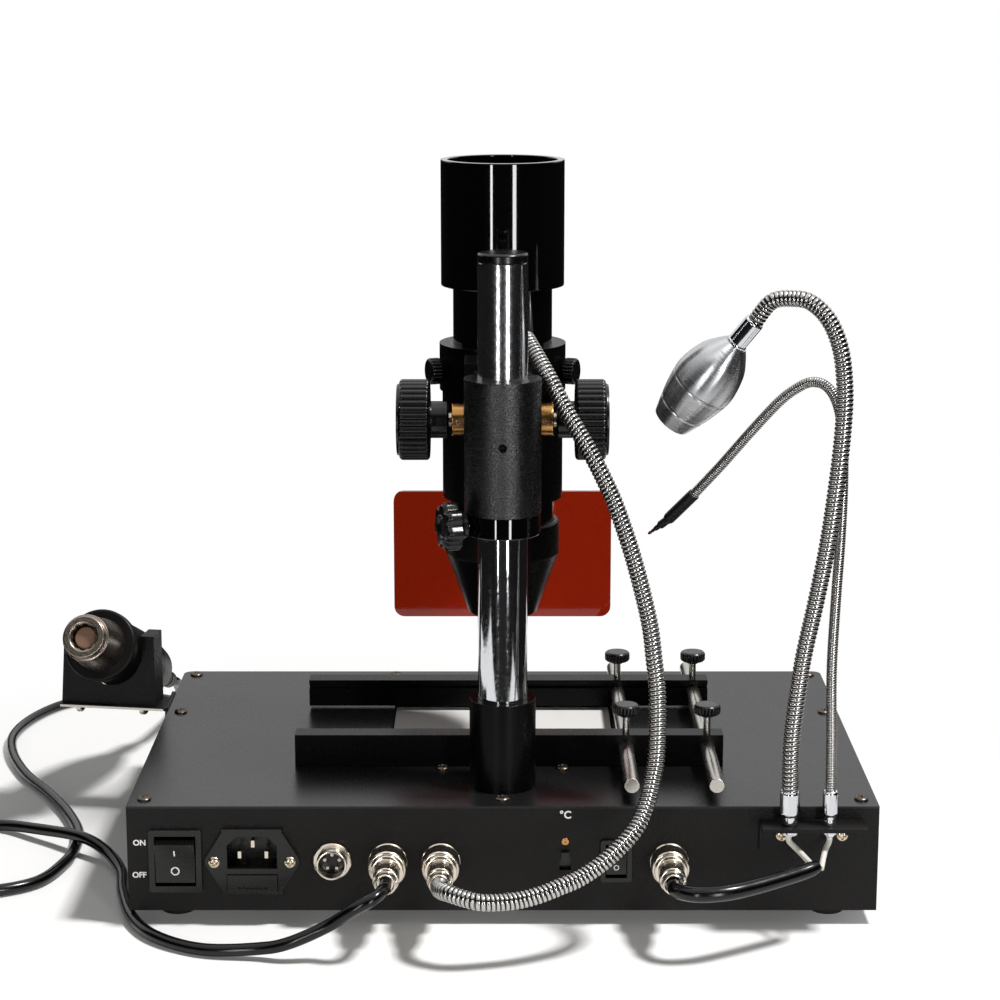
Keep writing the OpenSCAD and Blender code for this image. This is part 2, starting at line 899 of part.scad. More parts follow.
// Bezel and body of one rocker switch
module rocker_housing(x, s) {
    on_panel(x, row_z)
        difference() {
            union() {
                linear_extrude(bezel_t)
                    round_rect(s[0], s[1], 1.5);
                translate([0, 0, -housing_depth])
                    block([s[0] - 2 * bezel_lip, s[1] - 2 * bezel_lip, housing_depth + cut]);
            }
            translate([0, 0, -well_depth])
                block([s[2] + 2 * side_gap, s[3] + well_more, well_depth + bezel_t + cut]);
        }
}

// Housings of the two rockers and of the slide switch
module switch_housings() {
    color("#262322") {
        rocker_housing(power_x, POWER);
        rocker_housing(light_x, LIGHT);
        on_panel(unit_x, row_z)
            difference() {
                translate([0, 0, -sheet_t - unit_body[2]])
                    block(unit_body);
                translate([0, 0, -sheet_t - slider_base_t - 2 * side_gap])
                    block([slider_base_w + 2 * side_gap, unit_body[1] - 2, unit_body[2]]);
            }
    }
}

// Rocker with its lower half pressed in; it turns about X behind the panel's face
module rocker(x, s) {
    h = s[3] / 2;
    rise = h * tan(rocker_angle);
    on_panel(x, row_z)
        translate([-s[2] / 2, 0, 0])
            rotate([90, 0, 90])
                linear_extrude(s[2])
                    polygon([
                        [-h, -rocker_back], [h, -rocker_back], [h, 0], [h - rocker_edge, rocker_front + rise],
                        [0, rocker_front], [-h + rocker_edge / 3, rocker_front], [-h, 0]
                    ]);
}

module power_rocker() {
    color("#2b2726")
        rocker(power_x, POWER);
}

module light_rocker() {
    color("#2b2726")
        rocker(light_x, LIGHT);
}

// Slider of the small switch, at the upper end of its slot
module unit_slider() {
    color("#2c2b2a")
        on_panel(unit_x, row_z + slider_up) {
            translate([0, 0, -sheet_t - slider_base_t - side_gap])
                block([slider_base_w, slider_base_h, slider_base_t]);
            translate([0, 0, -sheet_t - slider_base_t])
                block([slider_w, slider_h, sheet_t + slider_base_t + slider_out]);
        }
}

// Outline of the inlet's mouth with its two cut corners
module mouth_plan() {
    polygon([
        [-mouth_w / 2, -mouth_h / 2], [mouth_w / 2, -mouth_h / 2],
        [mouth_w / 2, mouth_h / 2 - mouth_cut], [mouth_w / 2 - mouth_cut, mouth_h / 2],
        [-mouth_w / 2 + mouth_cut, mouth_h / 2], [-mouth_w / 2, mouth_h / 2 - mouth_cut]
    ]);
}

// Mains inlet: flange with two ears, hollow mouth and the drawer's pocket
module inlet_body() {
    color("#241f1c")
        on_panel(inlet_x, row_z)
            difference() {
                union() {
                    linear_extrude(inlet_t) {
                        square([inlet_w, inlet_h], center = true);
                        for (s = [-1, 1]) {
                            translate([s * ear_x, 0])
                                circle(ear_r);
                            polygon([
                                [s * (inlet_w / 2 - 1), inlet_h / 2],
                                [s * (ear_x + ear_r * 0.85), ear_r * 0.52],
                                [s * (ear_x + ear_r * 0.85), -ear_r * 0.52],
                                [s * (inlet_w / 2 - 1), -inlet_h / 2]
                            ]);
                        }
                    }
                    translate([0, 0, -inlet_body_d])
                        block([inlet_w - 2 * inlet_lip, inlet_h - 2 * inlet_lip, inlet_body_d + cut]);
                }
                translate([0, mouth_up, inlet_t - mouth_depth])
                    linear_extrude(mouth_depth + cut)
                        mouth_plan();
                translate([0, -drawer_down, inlet_t - drawer[2] - 1])
                    block([drawer[0] + 2 * side_gap, drawer[1] + 2 * side_gap, drawer[2] + 1 + cut]);
                for (s = [-1, 1])
                    translate([s * ear_x, 0, -cut])
                        cylinder(r = screw_r + side_gap, h = inlet_t + 2 * cut, $fn = 24);
            }
}

// Three contact blades of the inlet
module inlet_blades() {
    color("#c9c4b8")
        on_panel(inlet_x, row_z + mouth_up)
            for (p = [[-blade_x, -blade_drop], [blade_x, -blade_drop], [0, blade_drop]])
                translate([p[0], p[1], inlet_t - mouth_depth])
                    block(blade);
}

// Fuse drawer with a finger grip on its face
module fuse_drawer() {
    color("#2a2421")
        on_panel(inlet_x, row_z - drawer_down)
            difference() {
                translate([0, 0, inlet_t - drawer[2]])
                    block([drawer[0], drawer[1], drawer[2] + drawer_face]);
                translate([0, -drawer[1] / 4, inlet_t + drawer_face - drawer_grip])
                    block([drawer[0] * 0.6, 1.5, drawer_grip + cut]);
            }
}

// Threaded shells of the four round sockets, each with its nut
module socket_shells() {
    color("#cfcfca")
        for (x = SOCKETS)
            on_panel(x, row_z)
                difference() {
                    union() {
                        translate([0, 0, -shell_in])
                            cylinder(r = shell_r, h = shell_in + shell_out);
                        cylinder(r = nut_r, h = nut_t);
                    }
                    translate([0, 0, -insert_t])
                        cylinder(r = shell_bore_r, h = insert_t + shell_out + cut);
                }
}

// Insulating discs in the sockets, with a ring of pins
module socket_inserts() {
    color("#1d1d1d")
        for (x = SOCKETS)
            on_panel(x, row_z) {
                translate([0, 0, -insert_t])
                    cylinder(r = shell_bore_r - run_gap, h = insert_t);
                for (i = [0:pin_count - 1])
                    rotate([0, 0, 360 * i / pin_count + 90])
                        translate([pin_circle_r, 0, -cut])
                            cylinder(r = pin_r, h = pin_len + cut, $fn = 16);
            }
}

// Screwed plugs of the hot-air handle, the lamp and the sensor
module cable_plugs() {
    color("#c4c4c0")
        for (x = PLUGGED)
            on_panel(x, row_z)
                rotate_extrude()
                    polygon([
                        [plug_ring_bore, plug_start], [plug_ring_r - 0.6, plug_start],
                        [plug_ring_r, plug_start + 0.6], [plug_ring_r, plug_ring_end - 0.6],
                        [plug_ring_r - 0.6, plug_ring_end], [plug_neck_r, plug_ring_end],
                        [plug_neck_r, plug_neck_end], [plug_body_r, plug_neck_end],
                        [plug_body_r, plug_body_end], [plug_tail_r, plug_body_end],
                        [plug_tail_r, plug_len], [0, plug_len], [0, plug_floor], [plug_ring_bore, plug_floor]
                    ]);
}

// Bright screws of the inlet, the neck bracket and the cradle, and the brass trimmer
module panel_screws() {
    color("#b9b5aa") {
        for (s = [-1, 1])
            on_panel(inlet_x + s * ear_x, row_z)
                translate([0, 0, inlet_t])
                    dome_screw(screw_head_r, screw_head_h, screw_r, inlet_t, $fn = 24);
        for (s = [-1, 1])
            on_panel(bracket_x + s * bracket_screw_x, shelf_z - bracket_h / 2)
                translate([0, 0, bracket_t])
                    dome_screw(screw_head_r, screw_head_h, screw_r, bracket_t, $fn = 24);
        for (y = SIDE_HOLES)
            translate([left_x - cradle_t, side_y + y, shelf_top - side_h / 2])
                rotate([0, -90, 0])
                    dome_screw(screw_head_r, screw_head_h, screw_r, cradle_t, $fn = 24);
        on_panel(unit_x, row_z + trimmer_up)
            translate([0, 0, -5])
                cylinder(r = trimmer_r, h = 5.6, $fn = 24);
    }
}

// Angle bracket with the feet of the two necks
module neck_bracket() {
    color("#2b2a2a")
        difference() {
            union() {
                translate([bracket_x - bracket_w / 2, panel_y - bracket_t, shelf_z - bracket_h])
                    cube([bracket_w, bracket_t, bracket_h]);
                translate([bracket_x - bracket_w / 2, panel_y - shelf_d, shelf_z - bracket_t])
                    cube([bracket_w, shelf_d, bracket_t]);
            }
            translate([light_neck_x, neck_y, shelf_z - bracket_t - cut])
                cylinder(r = light_stub_r + run_gap, h = bracket_t + 2 * cut);
            translate([probe_neck_x, neck_y, shelf_z - bracket_t - cut])
                cylinder(r = probe_stub_r + run_gap, h = bracket_t + 2 * cut);
            for (s = [-1, 1])
                on_panel(bracket_x + s * bracket_screw_x, shelf_z - bracket_h / 2)
                    translate([0, 0, -cut])
                        cylinder(r = screw_r + side_gap, h = bracket_t + 2 * cut, $fn = 24);
        }
}

// Rail with a board groove on its inner side (s = 1 faces +Y), lifted by up
module rail(y, s, up) {
    difference() {
        translate([rail_x - rail_len / 2, y - rail_d / 2, top_z + up])
            cube([rail_len, rail_d, rail_top - top_z - up]);
        translate([rail_x - rail_len / 2 - cut, s > 0 ? y + rail_d / 2 - groove_d : y - rail_d / 2 - cut,
            rail_top - groove_lip - groove_h])
            cube([rail_len + 2 * cut, groove_d + cut, groove_h]);
        for (x = ROD_X) {
            translate([x, y - rail_d / 2 - cut, rod_z])
                rotate([-90, 0, 0])
                    cylinder(r = rod_d / 2 + run_gap, h = rail_d + 2 * cut);
            translate([x, y, rod_z])
                cylinder(r = stem_r + run_gap, h = rail_h, $fn = 24);
        }
    }
}

module near_rail() {
    color("#1e1e1e")
        rail(near_rail_y, 1, 0);
}

module far_rail() {
    color("#1e1e1e")
        rail(far_rail_y, -1, screw_head_h + side_gap);
}

// Two guide rods through the rails
module guide_rods() {
    color("#c8c8c6")
        for (x = ROD_X)
            translate([x, rod_back_y, rod_z])
                rotate([-90, 0, 0])
                    cylinder(r = rod_d / 2, h = rod_len);
}

// Thumb screw of a rail; its stem ends just above the rod
module rail_screw(x, y) {
    color("#1b1b1b")
        translate([x, y, rail_top])
            hand_screw(rail_top - rod_z - rod_d / 2 - side_gap, thumb_up, thumb_d / 2, thumb_h);
}

module near_screw_left() {
    rail_screw(ROD_X[0], near_rail_y);
}

module near_screw_right() {
    rail_screw(ROD_X[1], near_rail_y);
}

module far_screw_left() {
    rail_screw(ROD_X[0], far_rail_y);
}

module far_screw_right() {
    rail_screw(ROD_X[1], far_rail_y);
}

// Collar that holds the column, with its plate under the cover
module foot_collar() {
    color("#1a1a1b")
        translate([0, column_y, 0])
            difference() {
                union() {
                    translate([0, 0, under_z - foot_plate_t])
                        cylinder(r = collar_d / 2, h = top_z + collar_h - under_z + foot_plate_t);
                    translate([-foot_plate_w / 2, foot_plate_near - column_y, under_z - foot_plate_t])
                        cube([foot_plate_w, foot_plate_far - foot_plate_near, foot_plate_t]);
                }
                translate([0, 0, column_bottom])
                    cylinder(r = column_r + run_gap, h = column_h);
            }
}

// Polished column tube
module column() {
    color("#d6d6d8")
        translate([0, column_y, 0])
            difference() {
                translate([0, 0, column_bottom])
                    cylinder(r = column_r, h = column_top - column_bottom);
                translate([0, 0, column_bottom - cut])
                    cylinder(r = column_r - column_wall, h = column_top - column_bottom + 2 * cut);
            }
}

// Plastic cap in the top of the column
module column_cap() {
    color("#3c3b3a")
        translate([0, column_y, column_top])
            rotate_extrude()
                polygon([
                    [0, -cap_plug_h], [column_r - column_wall - run_gap, -cap_plug_h],
                    [column_r - column_wall - run_gap, 0], [column_r, 0], [column_r, cap_h - 1],
                    [column_r - 1, cap_h], [0, cap_h]
                ]);
}

// Stop ring that is clamped to the column and carries the sleeve
module stop_ring() {
    color("#111112")
        difference() {
            translate([0, column_y, stop_z])
                cylinder(r = stop_r, h = stop_h);
            translate([0, column_y, stop_z - cut])
                cylinder(r = column_r + run_gap, h = stop_h + 2 * cut);
            radial(column_y, stop_z + stop_h / 2, clamp_angle)
                cylinder(r = stud_r + run_gap, h = stop_r + cut);
        }
}

// Star knob with the stud that presses on the column
module clamp_knob() {
    color("#222222")
        radial(column_y, stop_z + stop_h / 2, clamp_angle) {
            translate([0, 0, column_r + 2 * side_gap])
                cylinder(r = stud_r, h = hub_start - column_r);
            translate([0, 0, hub_start])
                cylinder(r = hub_r, h = star_start - hub_start + cut);
            translate([0, 0, star_start])
                linear_extrude(star_h)
                    wavy(star_r, star_depth * 2, star_lobes, 12);
        }
}

// Sleeve that turns on the column, with a flat pad for the focus block
module column_sleeve() {
    color("#2e2927")
        difference() {
            union() {
                translate([0, column_y, sleeve_z])
                    cylinder(r = sleeve_d / 2, h = sleeve_h);
                translate([-pad_w / 2, column_y, sleeve_z])
                    cube([pad_w, block_back - column_y, sleeve_h]);
            }
            translate([0, column_y, sleeve_z - cut])
                cylinder(r = column_r + run_gap, h = sleeve_h + 2 * cut);
            radial(column_y, sleeve_z + grub_up, -90)
                translate([0, 0, sleeve_d / 2 - 3])
                    cylinder(r = grub_r, h = 3 + cut, $fn = 24);
        }
}

// Plan of the dovetail, wider by gap on each side
module dovetail(gap) {
    polygon([
        [-mouth_half - gap, block_front + cut], [-mouth_half - gap, block_front],
        [-tail_half - gap, slide_back - gap], [tail_half + gap, slide_back - gap],
        [mouth_half + gap, block_front], [mouth_half + gap, block_front + cut]
    ]);
}

// Focus block: dovetail channel, pinion pocket, the bushes' bores and a raised left shoulder
module focus_block() {
    color("#141415")
        difference() {
            union() {
                translate([0, 0, block_z])
                    linear_extrude(block_h)
                        polygon([
                            [-block_w / 2, block_front], [-block_w / 2, block_back],
                            [block_w / 2 - block_cut, block_back],
                            [block_w / 2, block_back + block_cut], [block_w / 2, block_front]
                        ]);
                translate([-block_w / 2, block_back, block_z])
                    cube([block_w / 2 - tail_half - slide_gap, block_front - block_back, block_h + shoulder_h]);
            }
            translate([0, 0, block_z - cut])
                linear_extrude(block_h + 2 * cut)
                    dovetail(slide_gap);
            translate([-block_w / 2 - cut, pinion_y, pinion_z])
                rotate([0, 90, 0])
                    cylinder(r = shaft_r + side_gap, h = block_w + 2 * cut);
            translate([-pinion_w / 2 - cut, pinion_y, pinion_z])
                rotate([0, 90, 0])
                    cylinder(r = pinion_r + tooth_up + 2 * side_gap, h = pinion_w + 2 * cut);
            for (s = [-1, 1])
                translate([s * (block_w / 2 - bush_in / 2), pinion_y, pinion_z])
                    rotate([0, s * 90, 0])
                        translate([0, 0, -bush_in / 2])
                            cylinder(r = bush_r + run_gap, h = bush_in + cut);
        }
}

// Brass bushes at both ends of the shaft
module shaft_bushes() {
    color("#a9843c")
        for (s = [-1, 1])
            translate([s * block_w / 2, pinion_y, pinion_z])
                rotate([0, s * 90, 0])
                    difference() {
                        union() {
                            translate([0, 0, -bush_in])
                                cylinder(r = bush_r, h = bush_in + cut);
                            cylinder(r = bush_flange_r, h = bush_flange_t);
                        }
                        translate([0, 0, -bush_in - cut])
                            cylinder(r = shaft_r + run_gap, h = bush_in + bush_flange_t + 2 * cut);
                        translate([0, 0, bush_flange_t / 2])
                            rotate([90, 0, 0])
                                translate([0, 0, shaft_r + 1])
                                    cylinder(r = 1.2, h = bush_flange_r, $fn = 16);
                    }
}

// Outline of the pinion: a straight-sided tooth at each pitch
module pinion_plan() {
    foot = pinion_r - tooth_down;
    tip = pinion_r + tooth_up;
    half = (tooth_pitch / 2 - tooth_slack) / 2;
    circle(foot);
    for (i = [0:pinion_teeth - 1])
        rotate(360 * i / pinion_teeth)
            polygon([
                [foot - 0.5, half + tooth_down * tooth_lean], [tip, half - tooth_up * tooth_lean],
                [tip, -half + tooth_up * tooth_lean], [foot - 0.5, -half - tooth_down * tooth_lean]
            ]);
}

// Shaft with the pinion in its middle
module pinion_shaft() {
    color("#bdbdbb")
        translate([0, pinion_y, pinion_z])
            rotate([0, 90, 0]) {
                translate([0, 0, -knob_end + 2])
                    cylinder(r = shaft_r, h = 2 * knob_end - 4);
                translate([0, 0, -pinion_w / 2])
                    linear_extrude(pinion_w)
                        rotate(90)
                            pinion_plan();
            }
}

// Two fluted focus knobs with their collars, fixed on the shaft
module focus_knobs() {
    color("#1c1c1c")
        for (s = [-1, 1])
            translate([0, pinion_y, pinion_z])
                rotate([0, s * 90, 0])
                    difference() {
                        union() {
                            translate([0, 0, knob_start])
                                cylinder(r = knob_collar_r, h = knob_collar_w + cut);
                            translate([0, 0, knob_face])
                                linear_extrude(knob_w - knob_disc_t)
                                    wavy(knob_d / 2, knob_flute_depth, knob_flutes, 4);
                            translate([0, 0, knob_face])
                                cylinder(r = knob_disc_r, h = knob_w);
                        }
                        translate([0, 0, knob_start - cut])
                            cylinder(r = shaft_r + run_gap, h = knob_end - knob_start - 2 + cut);
                    }
}

// Dovetail slide with the rack cut in its back
module rack_slide() {
    half = (tooth_pitch / 2 - tooth_slack) / 2;
    count = floor(slide_h / tooth_pitch / 2) - 1;
    color("#8f8f8d") {
        difference() {
            union() {
                translate([0, 0, slide_z])
                    linear_extrude(slide_h)
                        dovetail(0);
                translate([-mouth_half, block_front, slide_z])
                    cube([2 * mouth_half, slide_face - block_front, slide_h]);
            }
            translate([-pinion_w / 2 - 2 * side_gap, slide_back - cut, slide_z - cut])
                cube([pinion_w + 4 * side_gap, pitch_y + tooth_down - slide_back + cut, slide_h + 2 * cut]);
        }
        for (i = [-count:count])
            let (z = pinion_z + (i + 0.5) * tooth_pitch)
            if (z > slide_z + 2 && z < slide_z + slide_h - 2)
                translate([-pinion_w / 2, pitch_y, z])
                    rotate([90, 0, 90])
                        linear_extrude(pinion_w)
                            polygon([
                                [tooth_down + 0.5, half + tooth_down * tooth_lean],
                                [-tooth_up, half - tooth_up * tooth_lean],
                                [-tooth_up, -half + tooth_up * tooth_lean],
                                [tooth_down + 0.5, -half - tooth_down * tooth_lean]
                            ]);
    }
}

// Ring holder round the barrel, with a flat for the slide and two tapped holes
module lamp_ring() {
    color("#151516")
        difference() {
            union() {
                translate([0, lamp_y, lamp_z])
                    cylinder(r = holder_r, h = holder_h + ring_h);
                translate([0, lamp_y, lamp_z + holder_h])
                    cylinder(r = ring_r, h = ring_h);
            }
            translate([0, lamp_y, lamp_z - cut])
                cylinder(r = barrel_r + bore_gap, h = holder_h + ring_h + 2 * cut);
            translate([-ring_r, slide_face - ring_r, lamp_z - cut])
                cube([2 * ring_r, ring_r, holder_h + ring_h + 2 * cut]);
            for (a = [-ring_screw_angle, 180 + ring_screw_angle])
                radial(lamp_y, ring_screw_z, a)
                    cylinder(r = stem_r + run_gap, h = ring_r + cut, $fn = 24);
        }
}

// Thumb screw that holds the barrel in the ring
module ring_screw(a) {
    color("#1b1b1b")
        radial(lamp_y, ring_screw_z, a)
            translate([0, 0, ring_r])
                hand_screw(ring_r - barrel_r - 2 * side_gap, ring_screw_head - ring_r,
                    ring_screw_head_r, ring_screw_head_h);
}

module ring_screw_left() {
    ring_screw(180 + ring_screw_angle);
}

module ring_screw_right() {
    ring_screw(-ring_screw_angle);
}

// Barrel tube with its waist below the ring and the hose gland at its back
module lamp_barrel() {
    color("#131314")
        difference() {
            union() {
                translate([0, lamp_y, waist_z])
                    cylinder(r = waist_r, h = lamp_z - waist_z);
                translate([0, lamp_y, waist_z])
                    cylinder(r = barrel_r, h = barrel_top - waist_z);
                radial(lamp_y, gland_z, gland_angle)
                    cylinder(r = gland_r, h = gland_out);
            }
            translate([0, lamp_y, waist_z - cut])
                cylinder(r = barrel_r - barrel_wall, h = barrel_top - waist_z + 2 * cut);
        }
}

// Open shroud on top of the barrel
module heat_shroud() {
    color("#161617")
        translate([0, lamp_y, 0])
            rotate_extrude()
                polygon([
                    [barrel_r + bore_gap, shroud_z], [shroud_d / 2, shroud_z],
                    [shroud_d / 2, shroud_z + shroud_h - 1], [shroud_d / 2 - 1, shroud_z + shroud_h],
                    [shroud_d / 2 - shroud_wall, shroud_z + shroud_h],
                    [shroud_d / 2 - shroud_wall, shroud_z + shroud_floor],
                    [barrel_r + bore_gap, shroud_z + shroud_floor]
                ]);
}

// Hood with a band and an open cone below it
module lamp_hood() {
    color("#141415")
        translate([0, lamp_y, 0])
            rotate_extrude()
                polygon([
                    [waist_r + bore_gap, hood_top], [hood_d / 2, hood_top], [hood_d / 2, hood_z],
                    [mouth_d / 2, cone_z], [mouth_d / 2 - hood_wall, cone_z],
                    [hood_d / 2 - hood_wall - 1, hood_z + 1], [waist_r + bore_gap, hood_z + 2]
                ]);
}

// Infrared bulb hanging from its ceramic holder in the barrel
module infrared_bulb() {
    r = barrel_r - barrel_wall - bore_gap;
    color("#e6ded2")
        translate([0, lamp_y, 0])
            rotate_extrude()
                polygon([
                    [0, lampholder_z + lampholder_h], [r, lampholder_z + lampholder_h], [r, lampholder_z],
                    [bulb_neck_r, lampholder_z], [bulb_neck_r, lampholder_z - 12],
                    [bulb_r, lampholder_z - 32],
                    [bulb_r, lampholder_z - bulb_h + 4], [bulb_r - 4, lampholder_z - bulb_h],
                    [0, lampholder_z - bulb_h]
                ]);
}

// Eye shield with two holes for its screws
module eye_shield() {
    color("#7a1a0a")
        difference() {
            translate([0, shield_y + shield_t, shield_z + shield_h / 2])
                rotate([90, 0, 0])
                    linear_extrude(shield_t)
                        round_rect(shield_w, shield_h, shield_r);
            for (s = [-1, 1])
                translate([s * shield_screw_x, shield_y - cut, shield_z + shield_h - shield_screw_drop])
                    rotate([-90, 0, 0])
                        cylinder(r = shield_screw_r + run_gap, h = shield_t + 2 * cut, $fn = 24);
        }
}

// Strap from the ring's underside down to the shield, with two screws
module shield_bracket() {
    color("#1f1f1f") {
        difference() {
            translate([-shield_strap_w / 2, lamp_y + waist_r / 2, lamp_z - shield_strap_t])
                cube([shield_strap_w, shield_y - lamp_y - waist_r / 2, shield_strap_t]);
            translate([0, lamp_y, lamp_z - shield_strap_t - cut])
                cylinder(r = waist_r + side_gap, h = shield_strap_t + 2 * cut);
        }
        translate([-shield_strap_w / 2, shield_y - shield_strap_t, lamp_z - shield_strap_h])
            cube([shield_strap_w, shield_strap_t, shield_strap_h]);
        for (s = [-1, 1])
            translate([s * shield_screw_x, shield_y + shield_t, shield_z + shield_h - shield_screw_drop])
                rotate([-90, 0, 0])
                    dome_screw(screw_head_r, screw_head_h, shield_screw_r, shield_t + 1, $fn = 24);
    }
}

// Foot of a neck: six-sided ferrule over a short collar, stub through the shelf and a nut below
module neck_foot(p, ferrule_r, stub_r) {
    translate(p) {
        cylinder(r = stub_r + 1, h = foot_collar_h + cut);
        translate([0, 0, foot_collar_h])
            cylinder(r = ferrule_r, h = ferrule_h - foot_collar_h, $fn = 6);
        translate([0, 0, -stub_len])
            cylinder(r = stub_r, h = stub_len + cut);
        translate([0, 0, -bracket_t - side_gap - neck_nut_h])
            cylinder(r = ferrule_r - 0.2, h = neck_nut_h);
    }
}

// Bendable neck of the light, with the ferrule at its head
module light_neck() {
    color("#b9b9b7") {
        neck_foot(light_foot, light_ferrule_r, light_stub_r);
        sweep(LIGHT_ROUTE, light_neck_d / 2, neck_sides, 12);
    }
}

// Turned head of the light: ferrule, swelling body and a recessed front
module light_head() {
    r = head_d / 2;
    body = route([
        [light_ferrule_r + 1, ferrule_len], [0.56 * r, ferrule_len + 5], [0.8 * r, ferrule_len + 13],
        [r, ferrule_len + 27], [0.9 * r, ferrule_len + 38], [0.73 * r, ferrule_len + 47], [0.58 * r, head_len]
    ], 4);
    color("#a9abad")
        aim(light_tip, light_aim)
            rotate_extrude()
                polygon(concat(
                    [[0, side_gap], [light_ferrule_r, side_gap], [light_ferrule_r, ferrule_len]], body,
                    [[0.5 * r, head_len], [0.45 * r, head_len - 8], [0, head_len - 8]]
                ));
}

// Bendable neck of the temperature probe, with the probe at its end
module probe_neck() {
    color("#b2b2b0") {
        neck_foot(probe_foot, probe_ferrule_r, probe_stub_r);
        sweep(PROBE_ROUTE, probe_neck_d / 2, neck_sides, 10);
        aim(probe_tip - 3 * unit(probe_bend - probe_tip), probe_bend)
            cylinder(r = probe_sleeve_r, h = norm(probe_bend - probe_tip) + 3);
        aim(probe_bend - 3 * unit(probe_aim - probe_bend), probe_aim)
            cylinder(r = probe_tail_r, h = norm(probe_aim - probe_bend) + 3);
    }
}

// Children turned as the cradle stands, with its front face's foot at the origin
module at_cradle() {
    translate([cradle_x, cradle_y, shelf_top])
        rotate([0, 0, -tool_turn])
            children();
}

// Cradle of the handle: side plate, shelf and a block with a sloping saddle
module tool_cradle() {
    color("#2b2623") {
        difference() {
            translate([left_x - cradle_t, side_y, shelf_top - side_h])
                cube([cradle_t, side_d, side_h]);
            for (y = SIDE_HOLES)
                translate([left_x - cradle_t - cut, side_y + y, shelf_top - side_h / 2])
                    rotate([0, 90, 0])
                        cylinder(r = screw_r + side_gap, h = cradle_t + 2 * cut, $fn = 24);
        }
        difference() {
            translate([0, 0, -cradle_t])
                at_cradle()
                    translate([-cradle_w / 2, -shelf_more, 0])
                        cube([cradle_w + 2 * shelf_more - cradle_x + left_x, cradle_d + 2 * shelf_more, cradle_t]);
            translate([left_x - cradle_t / 2, side_y - cradle_w, shelf_top - 2 * cradle_t])
                cube([cradle_w, side_d + 2 * cradle_w, 3 * cradle_t]);
        }
        difference() {
            at_cradle()
                translate([0, cradle_d, 0])
                    rotate([90, 0, 0])
                        linear_extrude(cradle_d)
                            polygon([
                                [-cradle_w / 2, -cradle_t / 2], [cradle_w / 2, -cradle_t / 2],
                                [cradle_w / 2, cradle_h],
                                [-cradle_w / 2 + cradle_taper, cradle_h]
                            ]);
            aim(tool_mid - 2 * cradle_d * TOOL_BACK, tool_mid)
                rotate(180)
                    cylinder(r = saddle_r, h = 5 * cradle_d);
            translate(tool_mid)
                rotate([0, 0, -tool_turn])
                    translate([-slot_half, -cradle_d, 0])
                        rotate([-tool_slope, 0, 0])
                            cube([2 * slot_half, 4 * cradle_d, 2 * cradle_h]);
        }
    }
}

// Hot-air handle with its flange and cord boot; local Z points to the nozzle
module tool_handle() {
    color("#1b1b1c")
        aim(tool_flange, tool_flange - TOOL_BACK)
            rotate_extrude()
                polygon([
                    [0, 0], [flange_r, 0], [flange_r, -flange_t], [handle_r, -flange_t],
                    [handle_r, -flange_t - handle_len / 2], [handle_r - 1, -flange_t - 0.75 * handle_len],
                    [handle_r - 3.5, -flange_t - handle_len],
                    [handle_r - 9, -flange_t - handle_len - 0.7 * tail_len],
                    [boot_r + 1, -flange_t - handle_len - tail_len], [boot_r, -tool_end], [0, -tool_end]
                ]);
}

// Metal barrel and nozzle of the handle, with the ceramic heater core inside
module tool_nozzle() {
    color("#8d8a86")
        aim(tool_flange, tool_flange - TOOL_BACK)
            rotate_extrude()
                polygon([
                    [0, 0], [nozzle_foot_r, 0], [nozzle_r, 0.75 * nozzle_len], [nozzle_r, 0.87 * nozzle_len],
                    [nozzle_r - nozzle_lip, 0.88 * nozzle_len], [nozzle_r - nozzle_lip, nozzle_len],
                    [nozzle_bore_r, nozzle_len], [nozzle_bore_r, nozzle_len / 3], [core_r, nozzle_len / 3],
                    [core_r, nozzle_len - 4], [0, nozzle_len - 4]
                ]);
}

// Cord of the hot-air handle, along the table from its plug to the boot
module tool_cord() {
    color("#121212")
        sweep(TOOL_ROUTE, cord_d / 2, cord_sides, 18);
}

// Metal hose from its plug up to the gland on the lamp
module lamp_hose() {
    color("#aeaeac")
        sweep(HOSE_ROUTE, hose_d / 2, cord_sides, 18);
}

// Cable from the sensor plug, with the two leads that go on to the necks
module sensor_cable() {
    color("#20201f") {
        sweep(SENSOR_ROUTE, sensor_d / 2, cord_sides, 12);
        for (p = [light_foot, probe_foot])
            sweep([
                split_pt + [p[0] < split_pt[0] ? -lead_r : lead_r, -0.5, -1],
                [0.35 * split_pt[0] + 0.65 * p[0], neck_y - 5, split_pt[2] + 3.5],
                p - [0, 0, stub_len + 3], p - [0, 0, stub_len + side_gap]
            ], lead_r, lead_sides, 4);
    }
}

base_tray();
top_cover();
cover_screws();
rubber_feet();
heating_plate();
heater_tray();
heater_bars();
control_board();
display_windows();
dial_left();
dial_middle();
dial_right();
switch_housings();
power_rocker();
light_rocker();
unit_slider();
inlet_body();
inlet_blades();
fuse_drawer();
socket_shells();
socket_inserts();
cable_plugs();
panel_screws();
neck_bracket();
near_rail();
far_rail();
guide_rods();
near_screw_left();
near_screw_right();
far_screw_left();
far_screw_right();
foot_collar();
column();
column_cap();
stop_ring();
clamp_knob();
column_sleeve();
focus_block();
shaft_bushes();
pinion_shaft();
focus_knobs();
rack_slide();
lamp_ring();
ring_screw_left();
ring_screw_right();
lamp_barrel();
heat_shroud();
lamp_hood();
infrared_bulb();
eye_shield();
shield_bracket();
light_neck();
light_head();
probe_neck();
tool_cradle();
tool_handle();
tool_nozzle();
tool_cord();
lamp_hose();
sensor_cable();
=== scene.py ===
"""Looks of an infrared rework station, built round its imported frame.

Sizes are in millimetres and are turned to metres where a mesh is made. New pieces are surfaces on
a grid of two parameters: profiles carried round an axis, and rings carried along a path.
"""

